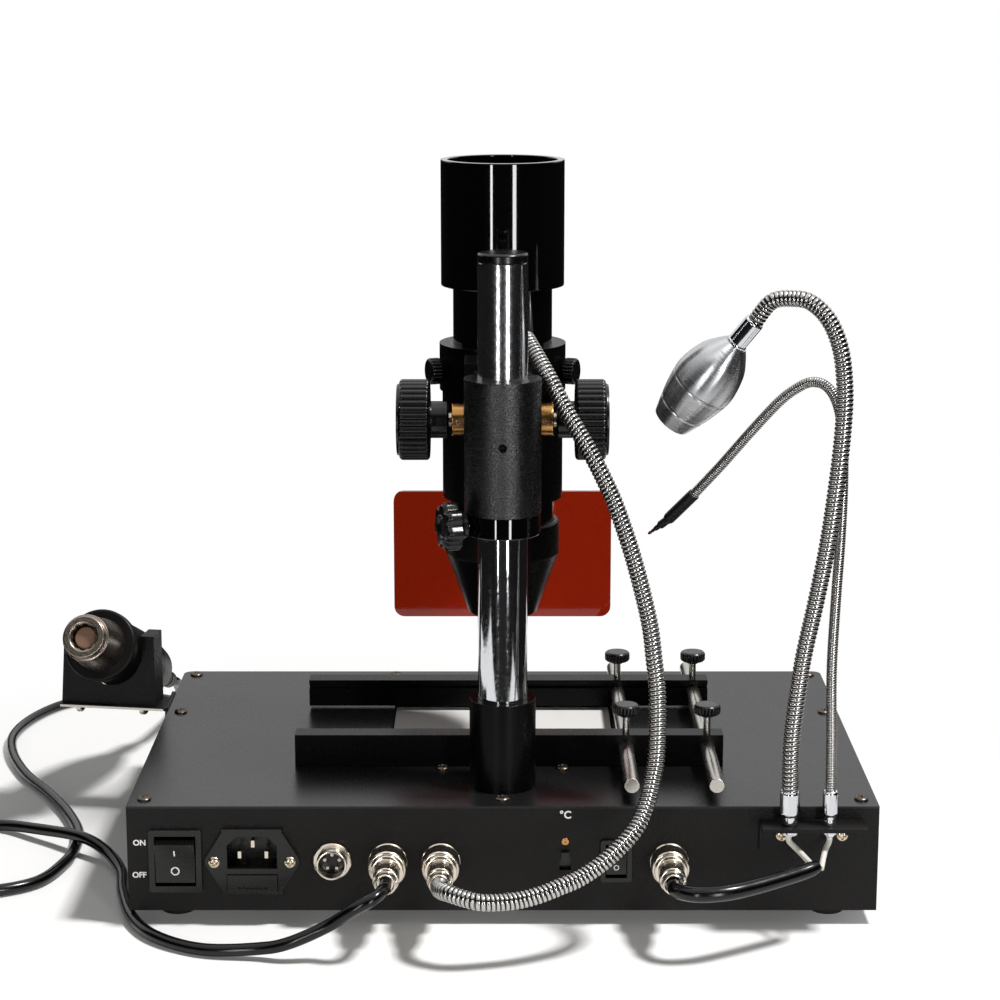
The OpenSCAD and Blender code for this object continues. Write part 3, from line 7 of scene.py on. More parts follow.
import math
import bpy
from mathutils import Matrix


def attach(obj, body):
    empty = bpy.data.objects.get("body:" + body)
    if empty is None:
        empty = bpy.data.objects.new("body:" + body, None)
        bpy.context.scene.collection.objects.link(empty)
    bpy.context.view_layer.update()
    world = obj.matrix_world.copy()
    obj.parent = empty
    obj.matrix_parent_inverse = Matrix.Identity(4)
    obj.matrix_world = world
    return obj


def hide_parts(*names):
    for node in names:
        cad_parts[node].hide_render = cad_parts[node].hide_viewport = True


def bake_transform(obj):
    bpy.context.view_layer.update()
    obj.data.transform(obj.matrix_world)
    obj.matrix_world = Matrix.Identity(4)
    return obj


bl_info = {
    "name": "Infrared rework station",
    "version": (1, 0, 0),
    "blender": (4, 5, 0),
    "location": "View3D > Sidebar > Station",
    "description": "Finishes, cords, necks, lamp head and stage of an infrared rework station",
    "category": "Object",
}

import bpy
import numpy as np

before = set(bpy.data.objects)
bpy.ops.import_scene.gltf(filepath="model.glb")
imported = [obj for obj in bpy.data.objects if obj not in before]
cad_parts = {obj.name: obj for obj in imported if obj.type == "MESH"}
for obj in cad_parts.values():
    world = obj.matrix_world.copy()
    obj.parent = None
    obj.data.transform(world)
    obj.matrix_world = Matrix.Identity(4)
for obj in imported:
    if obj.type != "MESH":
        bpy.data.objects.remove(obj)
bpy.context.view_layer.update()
MM = 0.001


def heading(turn, dip=0):
    """Unit vector at turn degrees from +X in plan, sinking by dip degrees."""
    a, b = math.radians(turn), math.radians(dip)
    return np.array([math.cos(a) * math.cos(b), math.sin(a) * math.cos(b), -math.sin(b)])


# Middles, levels and directions of the CAD model that several pieces share
COLUMN = np.array([0.0, -89, 0])
COLUMN_R = 13
COLUMN_TOP = 343
STOP_Z = 207.5
PANEL_Y = -125
PANEL_OUT = np.array([0, -1, 0])
FRONT_Y = 125
TOP_Z = 65
ROW_Z = 35.5
SOCKETS = (-88.5, -59.5, -32, 86.5)
PLUGGED = SOCKETS[1:]
TAIL_Y = -161
PINION = np.array([0, -50, 254.5])
GLAND_Z = 297
GLAND_OUT = heading(-75)
LIGHT_FOOT = np.array([147.5, -133, 58])
PROBE_FOOT = np.array([168.3, -133, 58])
CRADLE = np.array([-231, 53, 66])
TOOL_MID = np.array([-229.5, 53, 99])
TOOL_BACK = heading(81, 24)


# Shapes


def unit(v):
    """The vector v, or each row of it, at length 1."""
    v = np.asarray(v, float)
    return v / np.linalg.norm(v, axis=-1, keepdims=True)


def turns(count):
    """Angles of count even steps round a circle."""
    return 2 * np.pi * np.arange(count) / count


def route(knots, step):
    """Smooth curve through the knots: on each span the cubic whose slope at a knot is half the
    step between its neighbours, with points about step apart."""
    p = np.asarray(knots, float)
    a, b, c, d = np.vstack([p[:1], p[:-2]]), p[:-1], p[1:], np.vstack([p[2:], p[-1:]])
    spans = np.maximum(1, np.round(np.linalg.norm(c - b, axis=1) / step)).astype(int)
    i = np.repeat(np.arange(len(spans)), spans)
    t = ((np.arange(len(i)) - np.repeat(np.cumsum(spans) - spans, spans)) / spans[i])[:, None]
    a, b, c, d = a[i], b[i], c[i], d[i]
    q = 2 * b + (c - a) * t + (2 * a - 5 * b + 4 * c - d) * t**2 + (3 * b - a - 3 * c + d) * t**3
    return np.vstack([0.5 * q, p[-1:]])


def evenly(line, step):
    """The line again with points step apart along its length, and each point's distance along it."""
    run = np.concatenate([[0], np.cumsum(np.linalg.norm(np.diff(line, axis=0), axis=1))])
    at = np.linspace(0, run[-1], max(2, int(round(run[-1] / step)) + 1))
    return np.stack([np.interp(at, run, line[:, k]) for k in range(3)], 1), at


def tube(line, radius, sides):
    """Rings carried along a line without twist: ring i has its points at radius[i, j] from line[i],
    at the angle of side j in the plane square to the line."""
    head = unit(np.gradient(line, axis=0))
    u = np.zeros_like(line)
    u[0] = unit(np.cross(head[0], [0.31, 0.57, 0.76]))
    for i in range(1, len(line)):
        u[i] = unit(u[i - 1] - head[i] * (u[i - 1] @ head[i]))
    v = np.cross(head, u)
    angle = turns(sides)[None, :, None]
    r = np.broadcast_to(radius, (len(line), sides))[..., None]
    return line[:, None] + r * (np.cos(angle) * u[:, None] + np.sin(angle) * v[:, None])


def ribs(run, sides, radius, pitch, depth):
    """Radius and valley depth of a wound metal hose: in each pitch the height follows a half circle,
    as a round wire does, and the wire climbs one pitch in each turn. The valley depth is 0 on the
    upper part of the wire and 1 at its foot."""
    unshaded_height, fade, nudge = 0.9, 0.42, 1e-6
    turn = np.arange(sides) / sides
    part = (run[:, None] / pitch - turn[None] + nudge) % 1
    height = np.sqrt(np.maximum(0, 1 - (2 * part - 1) ** 2))
    # The valley depth marks where the wound metal is painted dark as shade between the ribs.
    return radius - depth * (1 - height), np.clip((unshaded_height - height) / fade, 0, 1)


def soften(profile, size=0.5, closed=False):
    """The profile with each corner replaced by an arc that starts size before it: points on the
    curve (1-t)^2 a + 2t(1-t) corner + t^2 b. One more point on each side of the arc keeps the
    shading of the straight stretches plain."""
    share, support, tiny = 0.36, 1.3, 1e-9
    p = np.asarray(profile, float)
    if closed:
        before, after = np.roll(p, 1, 0), np.roll(p, -1, 0)
    else:
        before, after = np.vstack([p[:1], p[:-1]]), np.vstack([p[1:], p[-1:]])
    back, ahead = before - p, after - p
    behind, beyond = np.linalg.norm(back, axis=1), np.linalg.norm(ahead, axis=1)
    cut = np.minimum(size, share * np.minimum(behind, beyond))
    back = back * (cut / np.maximum(behind, tiny))[:, None]
    ahead = ahead * (cut / np.maximum(beyond, tiny))[:, None]
    t = np.linspace(0, 1, 3)[None, :, None]
    a, b = (p + back)[:, None], (p + ahead)[:, None]
    arcs = (1 - t) ** 2 * a + 2 * t * (1 - t) * p[:, None] + t**2 * b
    arcs = np.concatenate([(p + support * back)[:, None], arcs, (p + support * ahead)[:, None]], 1)
    if closed:
        return arcs.reshape(-1, 2)
    return np.vstack([p[:1], arcs[1:-1].reshape(-1, 2), p[-1:]])


def aim(points, origin, direction):
    """The points with their Z axis turned along the direction, and moved to the origin."""
    w = unit(direction)
    u = unit(np.cross([0, 1, 0] if abs(w[1]) < 0.9 else [0, 0, 1], w))
    return np.asarray(origin, float) + points @ np.stack([u, np.cross(w, u), w])


def lathe(profile, segments, seat=(0, 0, 0), axis=(0, 0, 1), scale=None):
    """Profile points (radius, height) carried round an axis through the seat; scale[i, j]
    multiplies the radius of point i at segment j, which gives flutes or flats."""
    p = np.asarray(profile, float)
    angle = turns(segments)
    r = p[:, :1] * (np.ones((1, segments)) if scale is None else scale)
    z = np.broadcast_to(p[:, 1:], r.shape)
    return aim(np.stack([r * np.cos(angle), r * np.sin(angle), z], -1), seat, axis)


def flutes(profile, segments, count, depth, low, high):
    """Radius factor for flutes: between the heights low and high the radius dips by depth, count
    times a turn, with round lands and narrow grooves."""
    p = np.asarray(profile, float)
    dip = np.abs(np.sin(count * turns(segments) / 2)) ** 0.6 - 1
    on = ((p[:, 1] >= low) & (p[:, 1] <= high) & (p[:, 0] > 0.85 * p[:, 0].max()))[:, None]
    return 1 + on * depth * dip[None] / np.maximum(p[:, :1], 1e-9)


def flats(profile, segments, count, low, high):
    """Radius factor for flats: between low and high the round is cut to a polygon of count sides
    whose corners lie on the profile."""
    p = np.asarray(profile, float)
    part = (turns(segments) % (2 * np.pi / count)) - np.pi / count
    cutback = math.cos(np.pi / count) / np.cos(part)
    on = ((p[:, 1] >= low) & (p[:, 1] <= high))[:, None]
    return np.where(on, cutback[None], 1.0)


def screw_head(radius, height, segments=64):
    """Domed head over a polar grid: the height falls off as a flat-topped dome, and sinks where
    the point lies in one of two crossed arms that get shallower outwards."""
    half, reach, sink = 0.17, 0.62, 0.65
    share = np.concatenate([np.linspace(0, 0.9, 19), [0.96, 1.0, 1.0]])[:, None]
    angle = turns(segments)
    x, y = share * np.cos(angle), share * np.sin(angle)
    z = np.sqrt(np.maximum(0, 1 - 0.85 * share**2.4)) * np.ones_like(x)
    near, far = np.minimum(abs(x), abs(y)), np.maximum(abs(x), abs(y))
    arm = np.clip((half - near) / 0.05, 0, 1) * np.clip((reach - far) / 0.1, 0, 1)
    z = z - sink * arm * (1 - 0.5 * share)
    z[-1] = 0
    return (np.stack([x, y, z], -1) * [radius, radius, height])[::-1]


def weave(grid, loop, wrap):
    """Quads between neighbours on a grid, and UV for their corners: the turn along a row, and the
    mean length down the columns in metres."""
    m, n = grid.shape[:2]
    row = np.arange(m if loop else m - 1)[:, None]
    col = np.arange(n if wrap else n - 1)[None]
    below, beside = (row + 1) % m, (col + 1) % n
    corners = (row * n + col, row * n + beside, below * n + beside, below * n + col)
    quads = np.stack(np.broadcast_arrays(*corners), -1).reshape(-1, 4)
    steps = np.linalg.norm(np.diff(grid, axis=0), axis=2).mean(1)
    run = np.concatenate([[0], np.cumsum(steps)]) * MM
    run = np.append(run, run[-1] + MM)
    left, right, low, high = col / n, (col + 1) / n, run[row], run[row + 1]
    pairs = ((left, low), (right, low), (right, high), (left, high))
    uvs = np.stack([np.stack(np.broadcast_arrays(u, v), -1) for u, v in pairs], -2)
    return quads, uvs.reshape(-1, 4, 2)


def lids(grid):
    """Triangles from the middles of the first and last row to the points of these rows, as quads
    with one corner twice. The two middles are numbered after the grid's own points."""
    m, n = grid.shape[:2]
    j = np.arange(n)
    k = (j + 1) % n
    first, last, end = np.full(n, m * n), np.full(n, m * n + 1), (m - 1) * n
    return np.vstack([np.stack([first, k, j, first], 1), np.stack([last, j + end, k + end, last], 1)])


def piece(
    name,
    grids,
    body,
    material,
    replaces=(),
    slot=None,
    loop=False,
    caps=False,
    wrap=True,
    sharp=38,
    valley=None,
):
    """A mesh from a grid of points, or a list of them: neighbours on a grid are joined by quads,
    rows close round unless wrap is off, columns close with loop, and caps fills the first and last
    row. Points that fall together are merged. A valley depth for each point of the first grid
    becomes an attribute of the mesh."""
    points, quads, uvs, base = [], [], [], 0
    for grid in grids if isinstance(grids, list) else [grids]:
        spots = grid.reshape(-1, 3)
        joined, corners = weave(grid, loop, wrap)
        if caps:
            spots = np.vstack([spots, grid[0].mean(0), grid[-1].mean(0)])
            joined = np.vstack([joined, lids(grid)])
            corners = np.vstack([corners, np.zeros((2 * grid.shape[1], 4, 2))])
        points.append(spots * MM)
        quads.append(joined + base)
        uvs.append(corners)
        base += len(spots)
    points, quads, uvs = np.vstack(points), np.vstack(quads), np.vstack(uvs)
    spots, where = np.unique(np.round(points, 8), axis=0, return_inverse=True)
    where = where.ravel()
    quads = where[quads]
    keep = quads != np.roll(quads, 1, 1)
    size = keep.sum(1)
    sound = size >= 3
    keep &= sound[:, None]
    size = size[sound]
    mesh = bpy.data.meshes.new(name)
    mesh.vertices.add(len(spots))
    mesh.vertices.foreach_set("co", spots.astype(np.float32).ravel())
    mesh.loops.add(int(size.sum()))
    mesh.loops.foreach_set("vertex_index", quads[keep].astype(np.int32))
    mesh.polygons.add(len(size))
    mesh.polygons.foreach_set("loop_start", (np.cumsum(size) - size).astype(np.int32))
    mesh.polygons.foreach_set("use_smooth", np.ones(len(size), bool))
    layer = mesh.uv_layers.new(name="run")
    layer.data.foreach_set("uv", uvs[keep].astype(np.float32).ravel())
    if valley is not None:
        depth = np.zeros(len(spots), np.float32)
        depth[where[: valley.size]] = valley.ravel()
        mesh.attributes.new("valley", "FLOAT", "POINT").data.foreach_set("value", depth)
    mesh.validate()
    mesh.update(calc_edges=True)
    mesh.set_sharp_from_angle(angle=math.radians(sharp))
    mesh.materials.append(material)
    thing = bpy.data.objects.new(name, mesh)
    bpy.context.scene.collection.objects.link(thing)
    if body:
        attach(thing, body)
    if replaces:
        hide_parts(*replaces)
    return thing


# Finishes


def linear(code):
    """An sRGB hex colour as linear RGBA."""
    c = np.array([int(code[i : i + 2], 16) for i in (1, 3, 5)]) / 255
    return (*np.where(c <= 0.04045, c / 12.92, ((c + 0.055) / 1.055) ** 2.4), 1.0)


def add(tree, kind, inputs=None, **settings):
    """Adds a node with its settings, and fills or links its inputs."""
    made = tree.nodes.new(kind)
    for key, value in settings.items():
        setattr(made, key, value)
    for key, value in (inputs or {}).items():
        if isinstance(value, bpy.types.NodeSocket):
            tree.links.new(value, made.inputs[key])
        else:
            made.inputs[key].default_value = value
    return made


def seen_directly(tree):
    """1 for what the camera, a mirror or a glass sees, and 0 for what only lights the object."""
    path = add(tree, "ShaderNodeLightPath")
    seen = path.outputs["Is Camera Ray"]
    for kind in ("Is Glossy Ray", "Is Transmission Ray"):
        either = {0: seen, 1: path.outputs[kind]}
        seen = add(tree, "ShaderNodeMath", either, operation="MAXIMUM").outputs[0]
    return seen


def finish(name, shade, rough, metal=0.0, grain=1.0, lift=0.0, spread=0.0, drift=0.0, stretch=None, **more):
    """A surface finish: a base colour, in hex or linear RGB, that drifts a little in large soft
    patches, roughness that varies with a grain of the given size in mm, and a bump of the grain by
    lift in mm. With stretch the grain runs round the piece, as tool marks do, and reads its UV run."""
    made = bpy.data.materials.get(name)
    if made:
        return made
    made = bpy.data.materials.new(name)
    made.use_nodes = True
    tree = made.node_tree
    shader = tree.nodes["Principled BSDF"]
    shader.inputs["Metallic"].default_value = metal
    for key, value in more.items():
        shader.inputs[key.replace("_", " ")].default_value = value
    place = add(tree, "ShaderNodeTexCoord")
    if stretch:
        along = {"Vector": place.outputs["UV"], "Scale": (stretch, 1.0, 1.0)}
    else:
        along = {"Vector": place.outputs["Object"]}
    spot = add(tree, "ShaderNodeMapping", along).outputs[0]
    grit = {"Vector": spot, "Scale": 1 / (grain * MM), "Detail": 3.0, "Roughness": 0.6}
    fine = add(tree, "ShaderNodeTexNoise", grit).outputs["Fac"]
    cloud = {"Vector": place.outputs["Object"], "Scale": 14.0, "Detail": 2.0}
    soft = add(tree, "ShaderNodeTexNoise", cloud).outputs["Fac"]
    base = np.array(linear(shade) if isinstance(shade, str) else (*shade, 1.0))
    low, high = (tuple(np.clip(base * [k, k, k, 1], 0, 1)) for k in (1 - drift, 1 + drift))
    tone = add(tree, "ShaderNodeMix", {0: soft, 6: low, 7: high}, data_type="RGBA")
    tree.links.new(tone.outputs[2], shader.inputs["Base Color"])
    span = {"From Min": 0.3, "From Max": 0.7, "To Min": max(0.02, rough - spread), "To Max": rough + spread}
    wear = add(tree, "ShaderNodeMapRange", {"Value": fine, **span})
    tree.links.new(wear.outputs[0], shader.inputs["Roughness"])
    if lift:
        bump = add(tree, "ShaderNodeBump", {"Height": fine, "Distance": lift * MM, "Strength": 1.0})
        tree.links.new(bump.outputs[0], shader.inputs["Normal"])
    return made


def coat_panel():
    """Epoxy powder coat on sheet steel: brown-black, dull, with a leathery grain that is drawn
    coarser than the real one so that it shows."""
    shade = bpy.context.scene.station_finish.panel
    return finish("powder_coat", shade, 0.46, grain=1.7, lift=0.35, spread=0.1, drift=0.12, IOR=1.26)


def coat_cover():
    """Smoother powder coat of the cover: dark grey with a satin sheen."""
    shade = bpy.context.scene.station_finish.cover
    return finish("satin_coat", shade, 0.29, grain=0.8, lift=0.004, spread=0.04, drift=0.08, IOR=1.38)


def coat_grain():
    """Wrinkle lacquer on cast parts: black with a grain of small bright points, drawn coarser than
    the real one so that it shows."""
    return finish("wrinkle_lacquer", "#050404", 0.28, lift=0.27, spread=0.1, drift=0.1, IOR=1.6)


def gloss_black():
    """Black anodised and polished aluminium tube: mirror gloss on near-black."""
    return finish("gloss_anodised", "#030303", 0.05, grain=3.0, spread=0.02, drift=0.05, IOR=1.6)


def satin_black():
    """Black anodised aluminium as cut: satin, with a faint grain."""
    return finish("satin_anodised", "#050505", 0.3, grain=1.5, lift=0.006, spread=0.05, drift=0.1, IOR=1.2)


def chrome():
    """Hard chrome on turned steel: a clean mirror with slight cloudiness."""
    return finish("hard_chrome", "#d9dadd", 0.09, metal=1.0, grain=0.9, lift=0.006, spread=0.07, drift=0.02)


def column_chrome():
    """Hard chrome of the column: a mirror below, and a scuffed stretch above where the head is slid
    up and down, which spreads its reflections into speckled bands."""
    name = "column_chrome"
    made = bpy.data.materials.get(name)
    if made:
        return made
    made = finish(name, "#d9dadd", 0.07, metal=1.0, grain=1.6, lift=0.007, spread=0.05, drift=0.02)
    tree = made.node_tree
    rough = tree.nodes["Principled BSDF"].inputs["Roughness"]
    place = add(tree, "ShaderNodeTexCoord")
    height = add(tree, "ShaderNodeSeparateXYZ", {0: place.outputs["Object"]}).outputs["Z"]
    scuffed = {"From Min": 235 * MM, "From Max": 275 * MM, "To Min": 0.0, "To Max": 0.09}
    worn = add(tree, "ShaderNodeMapRange", {"Value": height, **scuffed}).outputs[0]
    total = add(tree, "ShaderNodeMath", {0: rough.links[0].from_socket, 1: worn}, operation="ADD")
    tree.links.new(total.outputs[0], rough)
    return made


def hose_metal():
    """Plated steel strip, wound: its ribs are bright, a little softer than the column, and the
    valleys between them, which the mesh carries as the attribute valley, are dull and painted
    near black as the shade that falls between the ribs."""
    name = "plated_strip"
    made = bpy.data.materials.get(name)
    if made:
        return made
    made = finish(name, "#bab8b5", 0.12, metal=1.0, spread=0.05, drift=0.04)
    tree = made.node_tree
    tone, rough = (tree.nodes["Principled BSDF"].inputs[key] for key in ("Base Color", "Roughness"))
    depth = add(tree, "ShaderNodeAttribute", attribute_name="valley").outputs["Fac"]
    # Painted shade: the base colour goes near black (#060505) in the valleys between the ribs.
    valley_shade = {0: depth, 6: tone.links[0].from_socket, 7: linear("#060505")}
    tree.links.new(add(tree, "ShaderNodeMix", valley_shade, data_type="RGBA").outputs[2], tone)
    dull = {0: depth, 2: rough.links[0].from_socket, 3: 0.55}
    tree.links.new(add(tree, "ShaderNodeMix", dull, data_type="FLOAT").outputs[0], rough)
    return made


def nickel():
    """Nickel plate on brass: warm bright metal with fine turning marks."""
    marks = {"grain": 0.6, "stretch": 0.02, "lift": 0.01}
    return finish("nickel_plate", "#d2c9bb", 0.2, metal=1.0, spread=0.06, drift=0.03, **marks)


def steel():
    """Ground and turned steel: grey metal with a fine even grain."""
    return finish("turned_steel", "#c4c0b9", 0.24, metal=1.0, grain=0.3, spread=0.015, drift=0.04)


def brass():
    """Turned brass: warm yellow metal."""
    return finish("turned_brass", "#b98a52", 0.24, metal=1.0, grain=0.4, spread=0.03, drift=0.06)


def light_alloy():
    """Turned and brushed aluminium: pale grey with rings of tool marks, which draw each reflection
    out into a streak from end to end."""
    marks = {"grain": 0.5, "stretch": 0.004, "lift": 0.004}
    streak = {"Anisotropic": 0.85, "Anisotropic_Rotation": 0.25}
    made = finish("brushed_alloy", "#c2c3c5", 0.3, metal=1.0, spread=0.06, **marks, **streak)
    tree = made.node_tree
    tangent = tree.nodes["Principled BSDF"].inputs["Tangent"]
    if not tangent.is_linked:
        way = add(tree, "ShaderNodeTangent", direction_type="UV_MAP", uv_map="run")
        tree.links.new(way.outputs[0], tangent)
    return made


def plastic():
    """Moulded black plastic of knobs: dull with a light sheen on edges."""
    return finish("moulded_black", "#060606", 0.25, grain=0.8, lift=0.02, spread=0.05, drift=0.1, IOR=1.45)


def dark_plastic():
    """Moulding of switches and the inlet: brown-black."""
    return finish("switch_moulding", "#0c0a09", 0.28, lift=0.02, spread=0.05, drift=0.08, IOR=1.42)


def pinned_insert():
    """Black insert of the round sockets, whose pins stand out of its face as bright plated metal."""
    name = "pinned_insert"
    made = bpy.data.materials.get(name)
    if made:
        return made
    made = finish(name, "#070707", 0.3, grain=0.8, spread=0.05, drift=0.1)
    tree = made.node_tree
    tone, metal = (tree.nodes["Principled BSDF"].inputs[key] for key in ("Base Color", "Metallic"))
    place = add(tree, "ShaderNodeTexCoord")
    split = add(tree, "ShaderNodeSeparateXYZ", {0: place.outputs["Object"]})
    face = (PANEL_Y - 0.2) * MM
    pin = add(tree, "ShaderNodeMath", {0: split.outputs["Y"], 1: face}, operation="LESS_THAN").outputs[0]
    plated = {0: pin, 6: tone.links[0].from_socket, 7: linear("#d2c9bb")}
    tree.links.new(add(tree, "ShaderNodeMix", plated, data_type="RGBA").outputs[2], tone)
    tree.links.new(pin, metal)
    return made


def rubber():
    """Soft black rubber of feet: matt."""
    return finish("foot_rubber", "#101010", 0.7, grain=0.8, lift=0.05, spread=0.1, drift=0.1)


def jacket():
    """Smooth flexible jacket of the cords: black with a wet sheen."""
    return finish("cord_jacket", "#040405", 0.2, grain=4.0, lift=0.01, spread=0.04, drift=0.05, IOR=1.4)


def lead_jacket():
    """Pale thin-walled insulation of the two leads."""
    return finish("lead_jacket", "#d8d4cc", 0.45, grain=2.0, spread=0.05, drift=0.04)


def paint():
    """White screen print on the panel and the switches."""
    return finish("white_print", "#e9e7e2", 0.5, grain=0.5, spread=0.05, drift=0.03)


def plated_screw():
    """Yellow-passivated steel of the panel's screws: warm and bright."""
    return finish("plated_screw", "#c9bda6", 0.24, metal=1.0, grain=0.8, spread=0.06, drift=0.05)


def dark_screw():
    """Blackened steel of the cover's screws: a dim brown-grey metal."""
    return finish("dark_screw", "#5c544b", 0.3, metal=1.0, grain=0.8, spread=0.08, drift=0.1)


def clear_lens():
    """Moulded acrylic lens: clear and glossy."""
    return finish("clear_lens", "#e8ecef", 0.08, grain=5.0, spread=0.02, Transmission_Weight=0.6, IOR=1.49)


def shrunk_sleeve():
    """Heat-shrink sleeve: black, with faint wrinkles."""
    return finish("shrunk_sleeve", "#0e0e0f", 0.45, grain=1.2, lift=0.05, spread=0.08, drift=0.1)


def probe_metal():
    """Heat-stained metal of the probe's bead: red-brown and half dull."""
    return finish("probe_bead", "#8a3a2a", 0.35, metal=0.6, grain=0.5, spread=0.1, drift=0.15)


def frosted_glass():
    """Frosted glass of the bulb: warm white and matt."""
    return finish("frosted_glass", "#e8e2d8", 0.4, grain=2.0, spread=0.05, drift=0.05)


def tinted_acrylic():
    """Cast red acrylic of the eye shield: glossy, and half clear."""
    shade = bpy.context.scene.station_finish.shield
    clear = {"Transmission_Weight": 0.55, "IOR": 1.49}
    return finish("tinted_acrylic", shade, 0.03, grain=6.0, spread=0.01, drift=0.04, **clear)


def sanded_plate():
    """Sanded metal of the heating plate: pale and matt."""
    return finish("sanded_plate", "#dedcd8", 0.55, grain=1.2, spread=0.08, drift=0.04, IOR=1.3)


def ceramic_bar():
    """Unglazed ceramic of the heating bars: buff and dry."""
    return finish("ceramic_bar", "#c9b8a4", 0.7, lift=0.05, spread=0.1, drift=0.08)


def solder_mask():
    """Solder mask on the control board: green, with a low gloss."""
    return finish("solder_mask", "#2d5a3a", 0.35, spread=0.05, drift=0.1)


def tinted_window():
    """Smoked red window of a display: almost black and glossy."""
    return finish("tinted_window", "#2a0a0a", 0.1, grain=4.0, spread=0.03, drift=0.05)


def handle_grip():
    """Moulded handle: brown-black and dull from use."""
    return finish("handle_grip", "#070605", 0.42, grain=0.8, lift=0.02, spread=0.06, drift=0.1, IOR=1.27)


def heated_steel():
    """Stainless steel of the nozzle: browned by heat, with turning marks round it."""
    marks = {"grain": 0.8, "stretch": 0.02, "lift": 0.01}
    return finish("heated_steel", "#8f857b", 0.3, metal=1.0, spread=0.1, drift=0.12, **marks)


def fired_clay():
    """Fired clay of the heater core: red-brown and rough."""
    return finish("fired_clay", "#7a5c4a", 0.75, grain=0.8, lift=0.1, spread=0.1, drift=0.15)


def smooth_edges():
    """Node group that merges loose triangles and shades them smooth up to an edge angle."""
    name = "smooth_edges"
    group = bpy.data.node_groups.get(name)
    if group:
        return group
    group = bpy.data.node_groups.new(name, "GeometryNodeTree")
    for side in ("INPUT", "OUTPUT"):
        group.interface.new_socket("Geometry", in_out=side, socket_type="NodeSocketGeometry")
    loose = {"Geometry": add(group, "NodeGroupInput").outputs[0], "Distance": 2e-6}
    merged = add(group, "GeometryNodeMergeByDistance", loose).outputs[0]
    angle = add(group, "GeometryNodeInputMeshEdgeAngle").outputs["Unsigned Angle"]
    blunt = {0: angle, 1: math.radians(28)}
    soft = add(group, "FunctionNodeCompare", blunt, operation="LESS_THAN").outputs[0]
    edges = {"Geometry": merged, "Shade Smooth": soft}
    edges = add(group, "GeometryNodeSetShadeSmooth", edges, domain="EDGE").outputs[0]
    faces = add(group, "GeometryNodeSetShadeSmooth", {"Geometry": edges, "Shade Smooth": True})
    add(group, "NodeGroupOutput", {"Geometry": faces.outputs[0]})
    return group


def dress(names, made, edge=0.3):
    """Gives CAD nodes a finish and smooth shading, and a narrow bevel on their edges that catches
    the light."""
    for name in names:
        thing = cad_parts[name]
        thing.data.materials.clear()
        thing.data.materials.append(made)
        thing.modifiers.new("smooth", "NODES").node_group = smooth_edges()
        if edge:
            flat = thing.modifiers.new("plane", "DECIMATE")
            flat.decimate_type = "DISSOLVE"
            flat.angle_limit = math.radians(0.5)
            bevel = thing.modifiers.new("edge", "BEVEL")
            bevel.width = edge * MM
            bevel.segments = 2
            bevel.limit_method = "ANGLE"
            bevel.angle_limit = math.radians(50)
            bevel.use_clamp_overlap = True
            bevel.harden_normals = True


# Values a user would change


def colour_value(name, description, code):
    """A colour property, with its default in hex."""
    return bpy.props.FloatVectorProperty(
        name=name, description=description, default=linear(code)[:3], min=0, max=1, subtype="COLOR"
    )


def length_value(name, description, size, low, high):
    """A length property, stored in metres and given here in millimetres."""
    return bpy.props.FloatProperty(
        name=name, description=description, default=size * MM, min=low * MM, max=high * MM, unit="LENGTH"
    )


def power_value(name, description, watts, high):
    """A lamp power property."""
    return bpy.props.FloatProperty(
        name=name, description=description, default=watts, min=0, max=high, unit="POWER"
    )


def share_value(name, description, amount):
    """A property between none and all."""
    return bpy.props.FloatProperty(
        name=name, description=description, default=amount, min=0, max=1, subtype="FACTOR"
    )


class StationFinish(bpy.types.PropertyGroup):
    """Colours of the main finishes."""

    panel: colour_value("Panel coat", "Colour of the powder coat", "#100e0d")
    cover: colour_value("Cover coat", "Colour of the top cover", "#151516")
    shield: colour_value("Eye shield", "Colour of the eye shield", "#a0250b")


class StationSizes(bpy.types.PropertyGroup):
    """Sizes of the details that the frame leaves out."""

    hose_pitch: length_value("Hose rib", "Distance between the hose's ribs", 2.3, 1.5, 4)
    neck_pitch: length_value("Neck rib", "Distance between the light neck's ribs", 2.3, 1.5, 4)
    probe_pitch: length_value("Probe rib", "Distance between the probe neck's ribs", 1.3, 1, 3)


class StationStage(bpy.types.PropertyGroup):
    """Light and camera."""

    lens: bpy.props.FloatProperty(
        name="Lens", description="Focal length", default=89.82, min=20, max=200, unit="CAMERA"
    )
    key: power_value("Key light", "Power of the key light", 155.0, 500)
    fill: power_value("Fill light", "Power of the overhead light", 3.0, 200)
    strip: power_value("Strip light", "Power of the narrower strip light", 6.0, 50)
    room: share_value("Room light", "Strength of the light from all round", 0.07)
    glow: share_value("Floor white", "Share of the floor that is plain white to the eye", 0.05)


# Pieces


